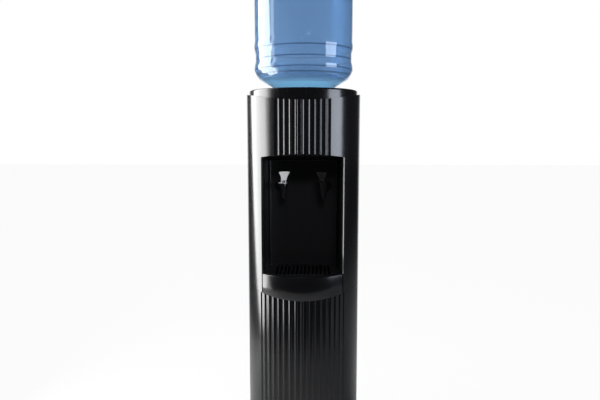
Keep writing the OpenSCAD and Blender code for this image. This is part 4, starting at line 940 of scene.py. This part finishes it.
def tubes():
    """The copper tubes, each swept along its route with rounded corners."""
    low, high = ends("evaporator_coil")
    low, high = low + 3.1, high - 3.1
    a = np.linspace(0, 4.5, 4 * 48 + 25)
    helix = turned_points(COIL_R, low + 12 * a, -2 * np.pi * a)
    coil = np.concatenate([[[COIL_R, TAIL_Y, low]], helix, [[-COIL_R, TAIL_Y, high]]])
    seat_y, back_y, beside, under = TAIL_Y + SEAT, TAIL_Y + 12, 130, 94
    routes = {
        "suction_line": ([
            [-COIL_R, seat_y, high], [-COIL_R, back_y, high], [-COIL_R, back_y, POT_Z + 24],
            [-COIL_R, POT_Y, POT_Z + 24], [-60.3, POT_Y, POT_Z + 24]], 7, SUCTION_R, 18, (1, 0.3, 0.2)),
        "discharge_line": ([
            [0, POT_Y, POT_Z + POT_HALF + SEAT], [0, POT_Y, LINE_Z], [0, TUBE_Y, LINE_Z],
            [-LINE_X, TUBE_Y, LINE_Z], [-LINE_X, TUBE_Y, CONDENSER[1]], [-100.3, TUBE_Y, CONDENSER[1]]],
            11, LINE_R, 18, (0.4, 0.3, 1)),
        "liquid_line": ([
            [100.3, TUBE_Y, CONDENSER[0]], [LINE_X, TUBE_Y, CONDENSER[0]], [LINE_X, TUBE_Y, LINE_Z],
            [LINE_X, TAIL_Y, LINE_Z], [LINE_X, TAIL_Y, 190.3]], 6, LINE_R, 18, (1, 0.3, 0.2)),
        "capillary_tube": ([
            [LINE_X, TAIL_Y, 109.7], [LINE_X, TAIL_Y, under], [beside, 106, under], [beside, 106, low],
            [COIL_R, 106, low], [COIL_R, seat_y, low]], 4.5, 1.15, 12, (0.3, 1, 0.4)),
    }
    made = {"evaporator_coil": Shape().swept(coil, SUCTION_R, 16)}
    for name, (route, corner, *tube) in routes.items():
        made[name] = Shape().swept(rounded(route, corner, 9), *tube)
    return made


def condenser_tube():
    """The condenser's tube: straight runs joined by half turns, from the upper left to the lower right."""
    low, high = CONDENSER
    pitch, turn_x, turn_r = (high - low) / 10, 75.0, 25
    a = np.radians(np.linspace(90, -90, 17))[1:-1]
    path = []
    for k in range(11):
        z, way = high - k * pitch, 1 if k % 2 == 0 else -1
        start = -100 if k == 0 else -way * turn_x
        end = 100 if k == 10 else way * turn_x
        path.append(np.array([[x, TUBE_Y, z] for x in (start, (start + end) / 2, end)]))
        if k < 10:
            x = way * (turn_x + turn_r * np.cos(a))
            path.append(np.stack([x, np.full(15, TUBE_Y), z - turn_r + turn_r * np.sin(a)], 1))
    return Shape().swept(np.concatenate(path), LINE_R, 16, (0, 1, 0)).made("condenser_tube")


def condenser_wires(sizes):
    """The condenser's two layers of wires: upright round wires with three cross wires in each layer."""
    low, high = CONDENSER[0] - 10, CONDENSER[1] + 10
    r = sizes.wire_width / 2
    ring = turned_points(r, 0, circle(8))[:, :2]
    shape = Shape()
    for y in (TUBE_Y - LINE_R - 0.2 - r, TUBE_Y + LINE_R + 0.2 + r):
        for x in (np.arange(16) - 7.5) * 12:
            shape.bar([at_height(ring + [x, y], z) for z in (low, high)])
        for z in (low + r, (low + high) / 2 + r, high - r):
            shape.bar([at_side(ring + [y, z], x) for x in (-90.0, 90.0)])
    return shape.made("condenser_wires")


def compressor():
    """The compressor: a welded pot turned about its axis, with a seam around it, on a rounded foot plate."""
    pot = rounded(
        [[0, -75], [30, -72.5], [52, -52], [60, -36], [60, -3], [63, -2.5], [63, 2.5], [60, 3], [60, 34],
         [53, 50], [34, 71], [0, 75]],
        [0, 30, 24, 18, 1, 1, 1, 1, 18, 22, 30, 0], 7)
    shape = Shape().turned(pot, 96, lambda points: points + [0, POT_Y, POT_Z])
    corner, half_x, half_y = 12.0, 85, 55
    plate = np.concatenate([
        arc_points(corner, start, start + 90, 9, (sx * (half_x - corner), POT_Y + sy * (half_y - corner)))
        for sx, sy, start in ((1, 1, 0), (-1, 1, 90), (-1, -1, 180), (1, -1, 270))])
    low = ends("compressor_grommets")[1] + SEAT
    shape.bar([at_height(plate, z) for z in (low, low + 3)])
    return softened(shape.made("compressor", crease=60.0), 0.6, 2, 60.0)


def knob():
    """The thermostat's knob: a skirt and a grip with flutes around it, turned about the shaft, hollow
    behind."""
    section = rounded([[3.1, 0], [14, 0], [14, 3], [11.5, 4], [11.5, 13], [0, 13], [0, 10], [3.1, 10], [3.1, 0]],
                      [0, 0.6, 0.9, 1.2, 1.4, 0, 0, 0.3, 0], 5)
    radius, height, a = section[:, :1], section[:, 1:], circle(180)
    grip = (radius > 10) & (radius < 11.7) & (height > 4.4)
    flutes = np.where(grip, 0.7 * (0.5 + 0.5 * np.cos(18 * a)) ** 2, 0)
    back = [110, ends("thermostat_knob", 1)[0], 915]
    lying = turned_points(radius - flutes, height, a)[..., [0, 2, 1]]
    return Shape().ring(lying + back).made("thermostat_knob")


# The studio


def camera():
    """The camera at the photograph's angle: 1.53 m in front of the axis, 0.88 m up, looking 7 degrees
    down."""
    eye = told(bpy.data.cameras.new("camera"), sensor_fit="HORIZONTAL", sensor_width=36.0, lens=32.4,
               clip_start=0.05, clip_end=60.0)
    away, up, round_by = 1.532, 0.883, math.radians(1.2)
    facing = Euler((math.radians(90 - 7), 0.0, math.radians(1.2 + 0.37)), "XYZ")
    place = (away * math.sin(round_by), -away * math.cos(round_by), up)
    bpy.context.scene.camera = linked("camera", eye, location=place, rotation_euler=facing)


def softbox(name, energy, place, aim, width, tall, shape="RECTANGLE", lean=0, spread=180, tint=(1, 1, 1)):
    """An area light at a place that faces a point, with its top leant to one side by some degrees; a spread
    under 180 degrees narrows its beam as a grid would."""
    lamp = told(bpy.data.lights.new(name, "AREA"), shape=shape, size=width, size_y=tall, energy=energy,
                color=tint, spread=math.radians(spread))
    facing = (Vector(aim) - Vector(place)).to_track_quat("-Z", "Y") @ Quaternion((0, 0, 1), math.radians(lean))
    return linked(name, lamp, location=place, rotation_euler=facing.to_euler(), visible_camera=False)


def seen(nodes, output):
    """How much of a ray meets the white background: 1 for the camera's rays and for those through glass.
    Mirrored rays meet it behind the object, where the studio is lit: a smooth step of how far the direction
    from the middle of the floor points along y."""
    way = nodes.node("VectorMath", {"operation": "NORMALIZE"}, {0: nodes.node("TexCoord", output=output)})
    behind = nodes.node("SeparateXYZ", {}, {0: way}, 1).between(0.84, 0.97)
    total = nodes.node("LightPath", output="Is Glossy Ray") * behind
    for name in ("Is Camera Ray", "Is Transmission Ray"):
        total = total.most(nodes.node("LightPath", output=name))
    return total


def floor(tone, lit):
    """A pale matt floor that shows as white where it is seen, less a share that keeps the object's shadow. In
    other rays it is greyer, so that it lights and mirrors less in the dark panels."""
    f = Finish("pale_floor", Roughness=0.9, Specular_IOR_Level=0.0)
    white = seen(f, "Object")
    f.link(f.blend(white, rgba(tone, 0.45), rgba(tone)), "Principled BSDF", "Base Color")
    glow = f.node("Emission", {}, {"Strength": 1.0})
    mix = f.node("MixShader", {}, {0: white * lit, 1: Term(f, f.shader.outputs[0]), 2: glow})
    f.link(mix, "Material Output", "Surface")
    wide, near = 14.0, -0.85
    mesh = bpy.data.meshes.new("floor")
    corners = [(-wide, near, 0), (wide, near, 0), (wide, wide, 0), (-wide, wide, 0)]
    mesh.from_pydata(corners, [], [[0, 1, 2, 3]])
    mesh.materials.append(f.material)
    linked("floor", mesh)


def white_world(level):
    """Surroundings at a plain level that show as white wherever seen() says so."""
    world = bpy.data.worlds.new("surroundings")
    bpy.context.scene.world = world
    world.use_nodes = True
    nodes = Nodes(world.node_tree)
    dim = (level, level * 1.04, level * 1.15, 1.0)
    nodes.link(nodes.blend(seen(nodes, "Generated"), dim, rgba((1.0, 1.0, 1.0))), "Background", "Color")


# Operators


class COOLER_OT_stage(bpy.types.Operator):
    """Set up the floor, lights, surroundings and camera"""

    bl_idname = "cooler.stage"
    bl_label = "Studio"

    def execute(self, context):
        colours = context.scene.cooler_colours
        context.scene.view_settings.view_transform = "Standard"
        camera()
        floor(colours.floor, 0.96)
        softbox("left_softbox", colours.left_light, (-0.95, 0.12, 1.05), (0, 0.12, 1.05), 0.8, 2.06,
                "ELLIPSE", 14)
        softbox("left_fill", colours.fill_light, (-0.95, -0.34, 0.99), (0, -0.34, 0.99), 0.17, 1.95)
        softbox("right_softbox", colours.right_light, (1.83, -0.81, 0.94), (0, 0, 0.94), 1.0, 0.92,
                tint=(0.8, 0.87, 1.0))
        front = softbox("front_softbox", colours.front_light, (0.4, -2.85, 2.2), (0, 0, 0.75), 0.8, 0.3,
                        spread=36)
        top = softbox("top_softbox", colours.top_light, (0, -0.6, 2.6), (0, 0, 1), 1.0, 1.0)
        for lamp in (front, top):
            told(lamp, visible_glossy=False, visible_transmission=False)
        white_world(colours.world_light)
        return {"FINISHED"}


class COOLER_OT_panels(bpy.types.Operator):
    """Build the moulded front panels, the collar and the top"""

    bl_idname = "cooler.panels"
    bl_label = "Moulded panels"

    def execute(self, context):
        sizes = sizes_mm()
        settle(upper_shell(sizes), "cabinet", "front_upper_shell")
        settle(lower_panel(sizes), "cabinet", "front_lower_panel")
        settle(collar(sizes), "cabinet", "collar")
        settle(top_frame(sizes), "cabinet", "top_frame")
        return {"FINISHED"}


class COOLER_OT_niche(bpy.types.Operator):
    """Build the niche's liner, the drip tray and its grille"""

    bl_idname = "cooler.niche"
    bl_label = "Niche and tray"

    def execute(self, context):
        settle(niche_liner(), "liner", "niche_liner")
        settle(drip_tray(sizes_mm()), "cabinet", "drip_tray")
        settle(drip_grille(), "liner", "drip_grille")
        return {"FINISHED"}


class COOLER_OT_bottle(bpy.types.Operator):
    """Build the bottle and its cap"""

    bl_idname = "cooler.bottle"
    bl_label = "Bottle"

    def execute(self, context):
        settle(bottle(sizes_mm()), "bottle", "bottle")
        settle(bottle_cap(), "pale", "bottle_cap")
        return {"FINISHED"}


class COOLER_OT_taps(bpy.types.Operator):
    """Build the two taps with their bonnets, levers and springs"""

    bl_idname = "cooler.taps"
    bl_label = "Taps"

    def execute(self, context):
        for side, word, look in ((-1, "left", "pale"), (1, "right", "black")):
            settle(tap_body(side, word + "_tap_body"), "tap", word + "_tap_body")
            settle(bonnet(side, word + "_bonnet"), look, word + "_bonnet")
            settle(lever(side, word + "_lever"), look, word + "_lever")
            coil = settle(spring(side, word + "_spring"), "wire", word + "_spring")
            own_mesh(coil)
        return {"FINISHED"}


class COOLER_OT_circuit(bpy.types.Operator):
    """Build the copper tubes, the condenser and the compressor"""

    bl_idname = "cooler.circuit"
    bl_label = "Cooling circuit"

    def execute(self, context):
        for name, shape in tubes().items():
            settle(shape.made(name), "copper", name)
        settle(condenser_tube(), "enamel", "condenser_tube")
        settle(condenser_wires(sizes_mm()), "enamel", "condenser_wires")
        settle(compressor(), "enamel", "compressor")
        return {"FINISHED"}


class COOLER_OT_controls(bpy.types.Operator):
    """Build the thermostat's knob"""

    bl_idname = "cooler.controls"
    bl_label = "Controls"

    def execute(self, context):
        settle(knob(), "black", "thermostat_knob")
        return {"FINISHED"}


CARRIED = {
    "sheet": ["left_side_panel", "right_side_panel"],
    "zinc": ["rear_panel", "base_pan", "tank_shelf", "condenser_brackets", "shank_nuts"],
    "steel": ["reservoir", "left_stem", "right_stem", "lever_pins", "panel_screws", "compressor_bolts",
              "thermostat_shaft"],
    "black": ["bottle_guard", "starter_box", "thermostat", "power_inlet"],
    "rubber": ["feet", "compressor_grommets", "shank_washers", "wiring_lead"],
    "foam": ["insulation"],
    "silicone": ["left_water_tube", "right_water_tube", "left_seat_cup", "right_seat_cup", "reservoir_gasket"],
    "pale": ["baffle", "reservoir_lid"],
    "copper": ["filter_drier"],
    "brass": ["inlet_pins"],
}


class COOLER_OT_carried(bpy.types.Operator):
    """Give every part that keeps its own shape the finish of the real one"""

    bl_idname = "cooler.carried"
    bl_label = "Other parts"

    def execute(self, context):
        for name, nodes in CARRIED.items():
            for node in nodes:
                target = frame["nodes"][node]
                if not target.material_slots:
                    raise RuntimeError(node + " has no material slot")
                for place in target.material_slots:
                    place.material = finish(name)
        return {"FINISHED"}


class COOLER_PT_panel(bpy.types.Panel):
    """Lists the pieces, sizes and colours of the cooler."""

    bl_label = "Water cooler"
    bl_idname = "COOLER_PT_panel"
    bl_space_type = "VIEW_3D"
    bl_region_type = "UI"
    bl_category = "Cooler"

    def draw(self, context):
        for operator in OPERATORS:
            self.layout.operator(operator.bl_idname)
        for group in (context.scene.cooler_sizes, context.scene.cooler_colours):
            box = self.layout.box()
            for name in group.bl_rna.properties.keys():
                if name not in ("rna_type", "name"):
                    box.prop(group, name)


OPERATORS = [COOLER_OT_stage, COOLER_OT_panels, COOLER_OT_niche, COOLER_OT_bottle, COOLER_OT_taps,
             COOLER_OT_circuit, COOLER_OT_controls, COOLER_OT_carried]
CLASSES = [CoolerSizes, CoolerColours, *OPERATORS, COOLER_PT_panel]


def register():
    for cls in CLASSES:
        bpy.utils.register_class(cls)
    bpy.types.Scene.cooler_sizes = PointerProperty(type=CoolerSizes)
    bpy.types.Scene.cooler_colours = PointerProperty(type=CoolerColours)


def unregister():
    del bpy.types.Scene.cooler_colours
    del bpy.types.Scene.cooler_sizes
    for cls in reversed(CLASSES):
        bpy.utils.unregister_class(cls)


def main():
    register()
    for name in ("stage", "panels", "niche", "bottle", "taps", "circuit", "controls", "carried"):
        getattr(bpy.ops.cooler, name)()


if __name__ == "__main__":
    main()
